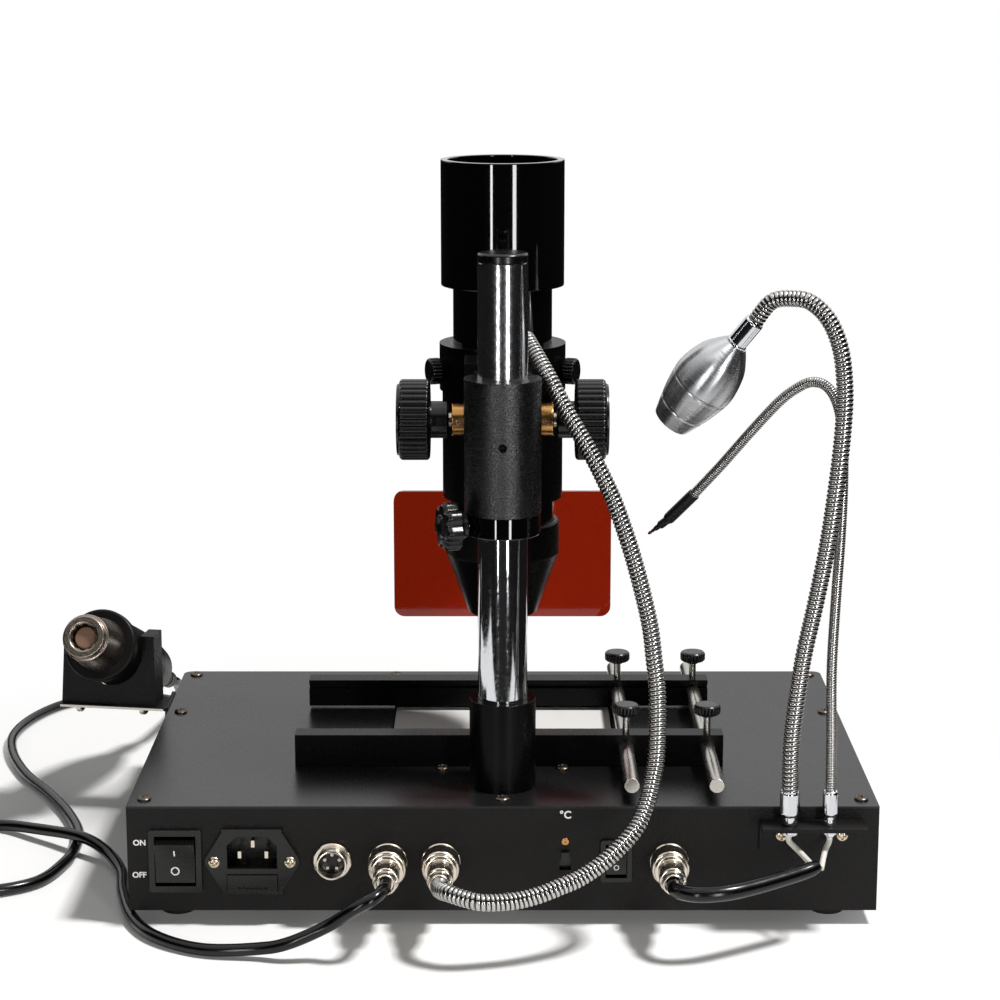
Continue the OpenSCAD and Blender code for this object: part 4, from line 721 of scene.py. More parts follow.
class STATION_OT_stage(bpy.types.Operator):
    """Makes the camera, the floor, the background and the lamps"""

    bl_idname = "station.stage"
    bl_label = "Stage"

    def camera(self, scene, lens):
        """The photographer's place in metres, and the tilt that the upright edges show."""
        eye = bpy.data.cameras.new("photo_camera")
        eye.lens = lens
        eye.sensor_width = 36
        camera = bpy.data.objects.new("photo_camera", eye)
        camera.location = (-0.0014, -1.3522, 0.4938)
        tilt = 12.26
        camera.rotation_euler = (math.radians(90 - tilt), 0, 0)
        scene.collection.objects.link(camera)
        scene.camera = camera

    def world(self, scene, room):
        """A background that looks white and gives the room's dim light."""
        world = bpy.data.worlds.new("studio")
        scene.world = world
        world.use_nodes = True
        tree = world.node_tree
        tree.nodes.clear()
        white = (1, 1, 1, 1)
        dim = add(tree, "ShaderNodeBackground", {"Color": white, "Strength": room}).outputs[0]
        plain = add(tree, "ShaderNodeBackground", {"Color": white, "Strength": 1.0}).outputs[0]
        both = add(tree, "ShaderNodeMixShader", {0: seen_directly(tree), 1: dim, 2: plain})
        add(tree, "ShaderNodeOutputWorld", {"Surface": both.outputs[0]})

    def floor(self, glow):
        """A pale table that keeps the shadows near the object and fades to plain white outwards."""
        pale = bpy.data.materials.new("pale_table")
        pale.use_nodes = True
        tree = pale.node_tree
        shader = tree.nodes["Principled BSDF"]
        shader.inputs["Base Color"].default_value = linear("#f7f6f4")
        shader.inputs["Roughness"].default_value = 0.6
        place = add(tree, "ShaderNodeTexCoord").outputs["Object"]
        middle = (-0.06, 0.02, 0)
        away = add(tree, "ShaderNodeVectorMath", {0: place, 1: middle}, operation="DISTANCE")
        ring = {"From Min": 0.24, "From Max": 0.42, "To Min": glow, "To Max": 1.0}
        ring["Value"] = away.outputs["Value"]
        fade = add(tree, "ShaderNodeMapRange", ring, interpolation_type="SMOOTHSTEP").outputs[0]
        part = add(tree, "ShaderNodeMath", {0: seen_directly(tree), 1: fade}, operation="MULTIPLY")
        white = add(tree, "ShaderNodeEmission", {"Color": (1, 1, 1, 1), "Strength": 1.0})
        mixed = {0: part.outputs[0], 1: shader.outputs[0], 2: white.outputs[0]}
        mixed = add(tree, "ShaderNodeMixShader", mixed).outputs[0]
        tree.links.new(mixed, tree.nodes["Material Output"].inputs["Surface"])
        left, right, near, far = -520, 380, -430, 460
        x, y = np.meshgrid(np.linspace(left, right, 9), np.linspace(near, far, 9))
        piece("table_top", np.stack([x, y, np.zeros_like(x)], -1), None, pale, wrap=False)

    def card(self, name, low, high, top, bright):
        """A dark curved card round the stage that only mirrors see, between two angles."""
        made = bpy.data.materials.new(name)
        made.use_nodes = True
        tree = made.node_tree
        glow = add(tree, "ShaderNodeEmission", {"Color": (1, 1, 1, 1), "Strength": bright})
        tree.links.new(glow.outputs[0], tree.nodes["Material Output"].inputs["Surface"])
        away, bottom = 2600, -1800
        turn = np.radians(np.linspace(low, high, 17))[None]
        z = np.array([bottom, top])[:, None]
        wall = np.stack(np.broadcast_arrays(away * np.cos(turn), away * np.sin(turn), z), -1)
        thing = piece(name, wall, None, made, wrap=False)
        for kind in ("camera", "diffuse", "shadow", "transmission"):
            setattr(thing, "visible_" + kind, False)

    def lamp(self, scene, name, place, target, size, power):
        """A rectangular lamp that faces its target, in metres."""
        light = bpy.data.lights.new(name, "AREA")
        light.shape = "RECTANGLE"
        light.size, light.size_y = size
        light.energy = power
        thing = bpy.data.objects.new(name, light)
        thing.location = place
        way = np.array(place) - np.array(target)
        tilt = math.acos(way[2] / np.linalg.norm(way))
        thing.rotation_euler = (tilt, 0, math.atan2(way[1], way[0]) + math.pi / 2)
        scene.collection.objects.link(thing)

    def execute(self, context):
        scene = context.scene
        values = scene.station_stage
        scene.view_settings.view_transform = "Standard"
        self.camera(scene, values.lens)
        self.world(scene, values.room)
        self.floor(values.glow)
        self.card("card_front", -122, -58, 2600, 0.02)
        self.card("card_left", -200, -122, 1900, 0.01)
        self.card("card_right", -58, 20, 1900, 0.01)
        self.card("card_back", 20, 160, 560, 0.01)
        wide = 1.5 * values.strip
        for name, place, target, size, watts in (
            ("key_light", (1.6, -0.5, 3.3), (0, 0, 0.05), (0.5, 0.5), values.key),
            ("top_light", (-0.3, 0.4, 2.2), (0, 0, 0.1), (1.6, 1.2), values.fill),
            ("strip_left", (-0.62, -1.68, 0.25), (0, 0, 0.2), (0.12, 0.95), values.strip),
            ("strip_right", (0.66, -1.66, 0.25), (0, 0, 0.2), (0.2, 0.95), wide),
        ):
            self.lamp(scene, name, place, target, size, watts)
        return {"FINISHED"}


class STATION_OT_cords(bpy.types.Operator):
    """Makes the handle's cord, the lamp's metal hose and the sensor cable with its two leads"""

    bl_idname = "station.cords"
    bl_label = "Cords and hose"

    def declare(self, made, path, wide, long=None, **more):
        """Takes no step: the piece is not declared as a cord along its path. The path, wide and long,
        which would give its line, width across and length in metres, are not used."""

    def tool_cord(self):
        """The handle's cord: its last stretch, which runs to the handle's tail, is a piece of its own."""
        wide, back = 6.5, 150
        flat, over = 3.6, 10.35
        corner = np.array([-195.0, PANEL_Y, 0])
        on_table = [
            (130, -52, 34.2), (120.5, -53, 29.2), (107, -50, 19.2), (88, -50, 10.4), (72.5, -46.5, 5.9),
            (43, -42, flat), (17, -25, flat), (1, 2, flat), (-9, 38, flat), (-14, 66, 4.5), (-25, 88, 7.5),
            (-41, 104, over), (-66, 124, 7.5), (-96, 143, flat), (-128, 138, flat),
            (-148, 108, flat), (-144, 68, flat), (-118, 42, flat), (-87, 37, flat),
            (-59, 51, flat), (-48, 81, flat), (-46, 109, flat), (-49, 134, flat),
            (-61, 167, flat), (-78, 201, flat), (-98, 236, flat), (-114, 278, flat),
            (-120, 315, flat), (-114, 352, flat), (-98, 383, flat), (-72, 399, flat),
            (-44, 396, 4.5), (-22, 378, 8),
        ]
        tail = TOOL_MID + 128 * TOOL_BACK
        knots = [(SOCKETS[1], TAIL_Y, ROW_Z), (SOCKETS[1] - 1, TAIL_Y - 9, ROW_Z + 0.5)]
        knots += [corner + p for p in on_table] + [tail + d * TOOL_BACK for d in (22, 0.3)]
        line, run = evenly(route(knots, 3), 3)
        split = int(np.argmin(np.abs(run - (run[-1] - back))))
        for name, body, path in (
            ("tool_cord_front", "base", line[: split + 1]),
            ("tool_cord_back", None, line[split:]),
        ):
            grid = tube(path, wide / 2, 16)
            made = piece(name, grid, body, jacket(), ("tool_cord",), "cord_rubber", caps=True)
            if not body:
                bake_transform(made)
            self.declare(made, path, wide)

    def lamp_hose(self, pitch):
        """The lamp's hose in three pieces; the bodies and heights listed for their ends are not used."""
        wide, depth, sides = 9, 1.0, 16
        start = np.array([SOCKETS[2], TAIL_Y, ROW_Z])
        rise = [
            (0.5, -9, 1), (5, -17, 2.5), (12, -22, 2), (20.5, -25, 1), (30.5, -24, 0.5), (40.5, -22, 1),
            (50.5, -20, 3), (60.5, -17, 6), (70.5, -13, 9), (83, -8, 16), (95, -1, 25.5), (101.5, 5, 33),
            (105.5, 11, 41.5), (108, 16, 50.5), (110, 21, 59.5), (111, 28, 76), (111, 35, 92.5),
            (109.5, 40, 107), (107, 47, 126), (99.5, 56, 155.5), (91, 63, 180.5), (84.5, 68, 195),
            (76, 73, 211), (65, 80, 229), (55, 90, 247), (46, 107, 260.5),
        ]
        gland = 37 * GLAND_OUT + [0, 0, GLAND_Z]
        knots = [start] + [start + p for p in rise] + [gland + d * GLAND_OUT for d in (9, 0.3)]
        line, run = evenly(route(knots, 2), pitch / sides)
        wave, valley = ribs(run, sides, wide / 2, pitch, depth)
        hose = tube(line, wave, sides)
        at_stop, at_arm = (np.flatnonzero(line[:, 2] > z)[0] for z in (200, 262))
        for name, first, last, one, two, low, high in (
            ("lamp_hose_low", 0, at_stop, "base", "stop", 60, 190),
            ("lamp_hose_mid", at_stop, at_arm, "stop", "arm", 205, 255),
            ("lamp_hose_top", at_arm, len(line) - 1, "arm", "lamp", 265, 290),
        ):
            part = slice(first, last + 1)
            looks = {"caps": True, "sharp": 70, "valley": valley[part]}
            made = piece(name, hose[part], None, hose_metal(), ("lamp_hose",), "chrome", **looks)
            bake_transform(made)
            self.declare(made, line[part], wide, stiffness="stiff", lay="hanging")

    def sensor_cable(self):
        """The sensor's cable, rounded at its end, where the two leads come out."""
        wide, lead_wide = 8, 3
        start = np.array([SOCKETS[3], TAIL_Y, ROW_Z])
        steps = [
            (0, 0, 0), (1, -8, 0.5), (6, -15, 1.5), (14, -18, 2), (27, -16, 2.5), (41, -9, 3), (55, -1, 4),
            (66, 5.5, 5), (74, 10, 6.5),
        ]
        line, _ = evenly(route([start + p for p in steps], 2), 1.5)
        radius = np.full(len(line), wide / 2)
        radius[-5:] = (4.0, 3.95, 3.8, 3.5, 3.0)
        grid = tube(line, radius[:, None], 16)
        slot = "cord_rubber"
        made = piece("sensor_cable_sleeve", grid, "base", jacket(), ("sensor_cable",), slot, caps=True)
        self.declare(made, line, wide, long=0.093)
        end = line[-1]
        for name, foot, side in (("lead_light", LIGHT_FOOT, -1), ("lead_probe", PROBE_FOOT, 1)):
            knots = [
                end + [side * 1.5, -0.5, -1],
                [0.35 * end[0] + 0.65 * foot[0], -138, end[2] + 3.5],
                foot - [0, 0, 9],
                foot - [0, 0, 6.3],
            ]
            path, _ = evenly(route(knots, 1), 1)
            grid = tube(path, lead_wide / 2, 12)
            piece(name, grid, "base", lead_jacket(), ("sensor_cable",), slot, caps=True)

    def execute(self, context):
        self.tool_cord()
        self.lamp_hose(context.scene.station_sizes.hose_pitch / MM)
        self.sensor_cable()
        return {"FINISHED"}


class STATION_OT_necks(bpy.types.Operator):
    """Makes the two bendable necks, the light's head and the probe"""

    bl_idname = "station.necks"
    bl_label = "Necks"

    light = [
        (0, 0, 14), (0, 0.5, 34), (1, 2, 53), (5.5, 6, 86), (12, 10, 116.5), (18, 15, 147), (23, 21, 182),
        (25.5, 26, 206.5), (26, 30, 224), (24, 34, 241.5), (18.5, 38.5, 255.5), (10, 44, 264),
        (2, 49, 265.5), (-9, 54.5, 263.5), (-16.8, 58.9, 253),
    ]
    probe = [
        (0, 0, 13), (0, 3, 44.5), (0.2, 11, 79.5), (2.5, 20, 114), (5, 28, 144), (6.5, 35, 174), (6, 40, 199),
        (3, 44, 213.5), (-2, 49, 220.5), (-8.5, 54, 221.5), (-15, 58, 218), (-24, 64, 209.5),
        (-38, 74, 191), (-52.5, 85, 170.5), (-66.5, 97, 151.5),
    ]

    def neck(self, name, foot, body, steps, radius, pitch, depth, ferrule):
        """A wound neck along its steps from the foot, with a ferrule and a stud through the bracket."""
        sides, stud = 16, 2.6
        line, run = evenly(route([foot + p for p in steps], 2), pitch / sides)
        wave, valley = ribs(run, sides, radius, pitch, depth)
        looks = {"caps": True, "sharp": 70, "valley": valley}
        piece(name + "_coil", tube(line, wave, sides), body, hose_metal(), (name,), "chrome", **looks)
        bore = radius - 0.3
        cup = [
            (0, 0.3), (ferrule - 1.2, 0.3), (ferrule - 0.9, 0.8), (ferrule - 0.6, 5), (ferrule, 6.2),
            (ferrule, 17.4), (ferrule - 0.7, 18.4), (bore, 18.4), (bore, 12), (0, 12),
        ]
        nut = ferrule - 0.2
        stub = [
            (0, -6), (stud, -6), (stud, -5), (ferrule - 0.4, -4.9), (nut, -4.4), (nut, -2.3), (stud, -2.2),
            (stud, 0), (3.4, 0.1), (3.4, 2.8), (0, 2.8),
        ]
        grids = [lathe(soften(cup, 0.4), 72, foot), lathe(soften(stub, 0.2), 48, foot)]
        piece(name + "_ferrule", grids, body, chrome(), (name,), "chrome", sharp=25)

    def light_head(self):
        """The light's egg-shaped head: a smooth profile with two narrow ring grooves."""
        body = "light_arm"
        tip = LIGHT_FOOT + self.light[-1]
        way = (-41.5, 24, -57.5)
        r, start, end = 17.25, 17, 74
        knots = [
            (6.2, start, 0), (0.58 * r, 22, 0), (0.84 * r, 30, 0), (r, 43, 0), (0.93 * r, 54, 0),
            (0.79 * r, 64, 0), (0.61 * r, end, 0),
        ]
        wall = route(knots, 0.4)[:, :2]
        deep, half = 0.4, 0.45
        for z in (48, 64):
            wall[:, 0] -= deep * np.exp(-(((wall[:, 1] - z) / half) ** 2))
        mouth = [(0.56 * r, end + 0.2), (0.5 * r, end), (0.45 * r, 66), (0, 66)]
        shell = lathe(np.vstack([[(0, start)], wall, mouth]), 128, tip, way)
        piece("light_head_shell", shell, body, light_alloy(), ("light_head",), "light_metal", sharp=50)
        rim = [(0, 0.3), (4.6, 0.3), (5.2, 1.2), (5.2, 15.4), (5.6, 15.8), (5.6, 17.2), (0, 17.2)]
        piece("light_head_ferrule", lathe(soften(rim, 0.4), 64, tip, way), body, chrome(), (), "chrome")
        lens = [(0.44 * r, 66.2), (0.43 * r, 67.5), (0.3 * r, 69.2), (0.12 * r, 69.8), (0, 69.9)]
        piece("light_head_lens", lathe(lens, 48, tip, way), body, clear_lens(), (), "light_metal")

    def probe_end(self):
        """The probe: a shrunk sleeve in two bent stretches, and a bead at the point."""
        body = "probe_arm"
        tip = PROBE_FOOT + self.probe[-1]
        bend = tip + [-12, 10, -15]
        point = bend + [-10, 7, -9.5]
        one, two = unit(bend - tip), unit(point - bend)
        line, run = evenly(route([tip - 3 * one, tip, bend - 2 * one, bend], 1), 0.6)
        wide = 3.3 - 0.9 * np.clip((run - run[-1] + 3) / 3, 0, 1) ** 2
        wide[0] = 2.7
        upper = tube(line, wide[:, None], 20)
        line, run = evenly(route([bend - 3 * two, bend, point - 3 * two], 1), 0.5)
        wide = np.interp(run / run[-1], [0, 0.55, 0.62, 0.8, 0.85, 1], [2.3, 2.3, 1.5, 1.4, 1.0, 0.8])
        lower = tube(line, wide[:, None], 16)
        piece("probe_sleeve", [upper, lower], body, shrunk_sleeve(), (), "black_plastic", caps=True)
        line, run = evenly(route([point - 3.5 * two, point], 0.5), 0.4)
        bead = 0.9 * np.sqrt(np.maximum(0.03, 1 - (2 * run / run[-1] - 1) ** 2))
        piece("probe_bead", tube(line, bead[:, None], 12), body, probe_metal(), (), "brass", caps=True)

    def execute(self, context):
        sizes = context.scene.station_sizes
        wide, narrow = sizes.neck_pitch / MM, sizes.probe_pitch / MM
        self.neck("light_neck", LIGHT_FOOT, "light_arm", self.light, 4.4, wide, 0.95, 5.2)
        self.neck("probe_neck", PROBE_FOOT, "probe_arm", self.probe, 2.75, narrow, 0.45, 4.1)
        self.light_head()
        self.probe_end()
        return {"FINISHED"}


class STATION_OT_column(bpy.types.Operator):
    """Makes the column, its foot collar and cap, the stop ring and the clamp knob"""

    bl_idname = "station.column"
    bl_label = "Column"

    def execute(self, context):
        r, bore, foot, top = COLUMN_R, 11, 60.8, COLUMN_TOP
        wall = lathe(soften([(bore, foot), (r, foot), (r, top), (bore, top)], 0.3, True), 160, COLUMN)
        piece("column_tube", wall, "base", column_chrome(), ("column",), "chrome", loop=True)
        plug = bore - 0.1
        cap = [
            (0, top - 10), (plug, top - 10), (plug, top), (r, top), (r, top + 4), (r - 1, top + 5),
            (0, top + 5.3),
        ]
        cap = lathe(soften(cap), 96, COLUMN)
        piece("column_top_cap", cap, "base", plastic(), ("column_cap",), "black_plastic")

        outer, inner, low, high = 19.5, r + 0.1, STOP_Z - 5.5, STOP_Z + 5.5
        ring = soften([(inner, low), (outer, low), (outer, high), (inner, high)], 0.5, True)
        ring = lathe(ring, 128, COLUMN)
        piece("stop_ring_turned", ring, "stop", gloss_black(), ("stop_ring",), "gloss_black", loop=True)
        seat, out = COLUMN + [0, 0, STOP_Z], heading(200)
        knob = soften(
            [
                (0, 20.3), (6.5, 20.3), (6.5, 23.9), (11.6, 24.3), (12.7, 25.5), (12.7, 31.9), (11.4, 33.7),
                (6, 33.9), (5, 32.9), (0, 32.9),
            ],
            0.7,
        )
        lobes = 0.5 * (1 - np.cos(7 * turns(168)))
        rim = np.clip((knob[:, :1] - 8) / 3, 0, 1)
        star = lathe(knob, 168, seat, out, 1 - rim * 0.2 * lobes[None] ** 1.5)
        piece("clamp_knob_star", star, "clamp_knob", plastic(), ("clamp_knob",), "black_plastic", sharp=45)
        stud = soften([(0, 13.6), (3, 13.6), (3, 20.6), (0, 20.6)], 0.3)
        piece("clamp_stud", lathe(stud, 32, seat, out), "clamp_knob", steel(), (), "steel")

        dress(["column_sleeve"], coat_grain(), 0.4)
        dress(["foot_collar"], satin_black(), 0.4)
        grub = soften([(0, 17.5), (2.1, 17.5), (2.1, 18.6), (1.6, 18.8), (1.1, 18.2), (0, 18.0)], 0.1)
        hexed = flats(grub, 32, 6, 18.1, 18.5)
        grub = lathe(grub, 32, COLUMN + [0, 0, 250.3], PANEL_OUT, hexed)
        piece("sleeve_grub", grub, "arm", satin_black(), (), "anodised")
        return {"FINISHED"}


class STATION_OT_lamp(bpy.types.Operator):
    """Makes the lamp's tubes, hood, gland, shield and screws"""

    bl_idname = "station.lamp"
    bl_label = "Lamp head"

    def execute(self, context):
        gloss = "gloss_black"
        shroud = [(27.1, 320), (33.5, 320), (33.5, 388), (29.5, 388), (29.5, 326), (27.1, 326)]
        shroud = lathe(soften(shroud, 0.6, True), 160)
        piece("heat_shroud_tube", shroud, "lamp", gloss_black(), ("heat_shroud",), gloss, loop=True)
        barrel = [(24.5, 178), (28.4, 178), (28.4, 203), (27, 203), (27, 340), (24.5, 340)]
        barrel = lathe(soften(barrel, 0.5, True), 160)
        piece("lamp_barrel_tube", barrel, "lamp", gloss_black(), ("lamp_barrel",), gloss, loop=True)
        hood = [
            (28.5, 190), (30.3, 190), (31.5, 188.6), (31.5, 171), (19, 137), (16.5, 137), (28, 172),
            (28.5, 173),
        ]
        hood = soften(hood, 0.5, True)
        hood = lathe(hood, 240, scale=flutes(hood, 240, 60, 0.35, 172.5, 187.5))
        piece("lamp_hood_cone", hood, "lamp", satin_black(), ("lamp_hood",), gloss, loop=True)
        nut = [
            (0, 25), (6.5, 25), (6.5, 30), (6.1, 30.4), (6.1, 31), (6.5, 31.4), (6.5, 36.4), (5.4, 37),
            (0, 37),
        ]
        nut = soften(nut, 0.3)
        nut = lathe(nut, 72, (0, 0, GLAND_Z), GLAND_OUT, flats(nut, 72, 6, 31.3, 36.6))
        piece("hose_gland", nut, "lamp", nickel(), (), "nickel", sharp=25)

        head = [
            (0, 27.7), (2, 27.7), (2, 34.8), (4.3, 34.9), (4.3, 36), (6.4, 36), (7.2, 36.8), (7.2, 42.2),
            (6.2, 43), (0, 42.8),
        ]
        head = soften(head, 0.4)
        grip = flutes(head, 160, 20, 0.7, 36.5, 42.4)
        for name, turn in (("ring_screw_left", 200), ("ring_screw_right", -20)):
            grid = lathe(head, 160, (0, 0, 274.5), heading(turn), grip)
            piece(name + "_head", grid, name, plastic(), (name,), "black_plastic")

        dress(["lamp_ring", "focus_block"], satin_black(), 0.4)
        dress(["infrared_bulb"], frosted_glass(), 0)
        dress(["rack_slide", "pinion_shaft"], steel(), 0)
        dress(["shield_bracket"], satin_black(), 0.2)
        dress(["eye_shield"], tinted_acrylic(), 0.4)
        return {"FINISHED"}


class STATION_OT_focus(bpy.types.Operator):
    """Makes the fluted focus knobs and their brass bushes"""

    bl_idname = "station.focus"
    bl_label = "Focus drive"

    def execute(self, context):
        knob = [
            (0, 28.5), (9.2, 28.5), (9.8, 29.2), (9.8, 38), (10.4, 38.5), (20.2, 38.5), (21.5, 39.6),
            (21.5, 53.4), (20.4, 54.6), (18.9, 54.8), (18.9, 56), (17.6, 56), (17, 55.2), (0, 55.2),
        ]
        knob = soften(knob)
        grip = flutes(knob, 288, 36, 1.0, 39.2, 53.9)
        pair = [lathe(knob, 288, PINION, (s, 0, 0), grip) for s in (-1, 1)]
        piece("focus_knob_pair", pair, "focus_drive", plastic(), ("focus_knobs",), "black_plastic")
        bush = [
            (4.05, 12.5), (7, 12.5), (7, 20), (8.4, 20), (8.75, 20.4), (8.75, 26.6), (8.3, 27), (4.05, 27),
        ]
        bush = soften(bush, 0.3, True)
        dot = soften([(0, 8.5), (1.3, 8.5), (1.3, 8.72), (0.9, 8.76), (0.7, 8.3), (0, 8.3)], 0.1)
        for s, name in ((-1, "left"), (1, "right")):
            grid = lathe(bush, 128, PINION, (s, 0, 0))
            piece("shaft_bush_" + name, grid, "arm", brass(), ("shaft_bushes",), "brass", loop=True)
            grid = lathe(dot, 24, PINION + [s * 23.5, 0, 0], PANEL_OUT)
            piece("bush_screw_" + name, grid, "arm", steel(), (), "steel")
        return {"FINISHED"}


class STATION_OT_panel(bpy.types.Operator):
    """Makes the sockets, plugs, screw heads and marks of the socket panel"""

    bl_idname = "station.panel"
    bl_label = "Socket panel"

    def sockets(self):
        """Threaded shells of the four sockets, the three knurled plugs and their clamp screws."""
        wave = np.arange(0, 5.4, 0.25)
        thread = np.column_stack([8 - 0.25 * (0.5 + 0.5 * np.cos(2 * np.pi * wave)), 2.6 + wave])
        shell = [(6.8, -5), (8, -10), (8, 0), (9.4, 0), (10, 0.6), (10, 2), (9.5, 2.5)]
        shell = np.vstack([shell, thread, [(7.5, 8.1), (6.9, 8.1)]])
        grids = [lathe(shell, 72, (x, PANEL_Y, ROW_Z), PANEL_OUT) for x in SOCKETS]
        piece("socket_thread", grids, "base", nickel(), ("socket_shells",), "nickel", loop=True)
        plug = [
            (8.15, 2.8), (9.2, 2.8), (9.8, 3.4), (9.8, 13.2), (9.2, 14), (8.6, 14.1), (8.6, 16.5), (8, 17),
            (6.9, 17.2), (6.6, 18.5), (6.8, 19.5), (6.8, 29.5), (6.3, 30), (5.6, 30.2), (5.6, 35.4),
            (5.1, 36), (4.6, 36), (4.4, 33), (0, 33),
        ]
        plug = soften(plug, 0.25)
        knurl = flutes(plug, 240, 60, 0.3, 4.2, 12.4)
        grids = [lathe(plug, 240, (x, PANEL_Y, ROW_Z), PANEL_OUT, knurl) for x in PLUGGED]
        piece("cable_plug_set", grids, "base", nickel(), ("cable_plugs",), "nickel")
        head, neck, back = screw_head(1.6, 0.9, 24), 5.3, 33
        clamps = [
            aim(head, (x + s * neck, PANEL_Y - back, ROW_Z), (s, 0, 0)) for x in PLUGGED for s in (-1, 1)
        ]
        piece("plug_clamp_screws", clamps, "base", steel(), (), "steel")

    def screws(self):
        """Screw heads of the inlet, the neck bracket, the cradle and the cover, and the trimmer."""
        head = screw_head(3.1, 2.0)
        seats = [((x, PANEL_Y - 2.5, ROW_Z), PANEL_OUT) for x in (-149.7, -110.3)]
        seats += [((160 + s * 15.7, PANEL_Y - 2, 50), PANEL_OUT) for s in (-1, 1)]
        seats += [((-197, 45 + y, 52), (-1, 0, 0)) for y in (8, 26)]
        grids = [aim(head, seat, out) for seat, out in seats]
        piece("panel_screw_heads", grids, "base", plated_screw(), ("panel_screws",), "steel")
        trim = soften([(0, -4), (2, -4), (2, 0.5), (1.7, 0.7), (0.5, 0.7), (0.4, 0.3), (0, 0.3)], 0.15)
        trim = lathe(trim, 40, (32.5, PANEL_Y, ROW_Z + 10.4), PANEL_OUT)
        piece("trimmer", trim, "base", brass(), (), "brass")
        spots = [(-187, -114), (0, -114), (187, -114), (-187, 117), (-65, 117), (187, 117)]
        spots += [(-187, 40), (187, 40)]
        spots += [(x * 32.5, y * 63.3) for x in (-1, 1) for y in (-1, 1)]
        grids = [screw_head(3.7, 2.0) + [x, y, TOP_Z] for x, y in spots]
        piece("cover_screw_heads", grids, "base", dark_screw(), ("cover_screws",), "steel")

    def rocker_marks(self, name, x, half, size):
        """A ring on a rocker's flat half and a bar on its sloping half, at a share of full size."""
        low, thick, face = -0.1, 0.08, PANEL_Y - 2.4
        ring = np.array([(1.6, 0), (1.6, thick), (2.3, thick), (2.3, 0)]) * [size, 1]
        ring = lathe(ring, 40, (x, face, ROW_Z - 0.42 * half), PANEL_OUT)
        piece(name + "_off_mark", ring, name, paint(), (), "nickel", loop=True)
        rise = math.tan(math.radians(20)) * half / (half - 1.5)
        seat = (x, face - 0.45 * half * rise, ROW_Z + 0.45 * half)
        bar = np.array([[-0.35, -1.8], [0.35, -1.8], [0.35, 1.8], [-0.35, 1.8]]) * size
        bar = np.stack([np.column_stack([bar, np.full(4, z)]) for z in (low, thick)])
        piece(name + "_on_mark", aim(bar, seat, (0, -1, -rise)), name, paint(), (), "nickel", caps=True)

    def words(self, scene, name, text, x, z, size):
        """A word printed on the panel, with its place applied to its mesh."""
        curve = bpy.data.curves.new("mark", "FONT")
        curve.body = text
        curve.size = size * MM
        curve.align_x = curve.align_y = "CENTER"
        curve.extrude = 0.04 * MM
        curve.offset = 0.12 * MM
        flat = bpy.data.objects.new("mark", curve)
        mesh = bpy.data.meshes.new_from_object(flat)
        bpy.data.objects.remove(flat)
        spots = np.zeros(len(mesh.vertices) * 3, np.float32)
        mesh.vertices.foreach_get("co", spots)
        across, up, out = spots.reshape(-1, 3).T
        spots = np.stack([across + x * MM, (PANEL_Y - 0.05) * MM - out, up + z * MM], 1)
        mesh.vertices.foreach_set("co", spots.astype(np.float32).ravel())
        mesh.update()
        mesh.materials.clear()
        mesh.materials.append(paint())
        thing = bpy.data.objects.new(name, mesh)
        scene.collection.objects.link(thing)
        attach(thing, "base")

    def execute(self, context):
        self.sockets()
        self.screws()
        dress(["switch_housings", "inlet_body", "fuse_drawer", "unit_slider"], dark_plastic(), 0.25)
        dress(["power_rocker", "light_rocker"], dark_plastic())
        dress(["inlet_blades"], nickel(), 0.2)
        dress(["socket_inserts"], pinned_insert(), 0.1)
        dress(["neck_bracket"], coat_panel())
        self.rocker_marks("power_rocker", -170, 12, 1.0)
        self.rocker_marks("light_rocker", 59, 7.5, 0.62)
        self.words(context.scene, "mark_on", "ON", -188.5, 45.0, 4.2)
        self.words(context.scene, "mark_off", "OFF", -189, 27.4, 4.2)
        self.words(context.scene, "mark_degree", "°C", 32.5, 60.2, 5.6)
        return {"FINISHED"}


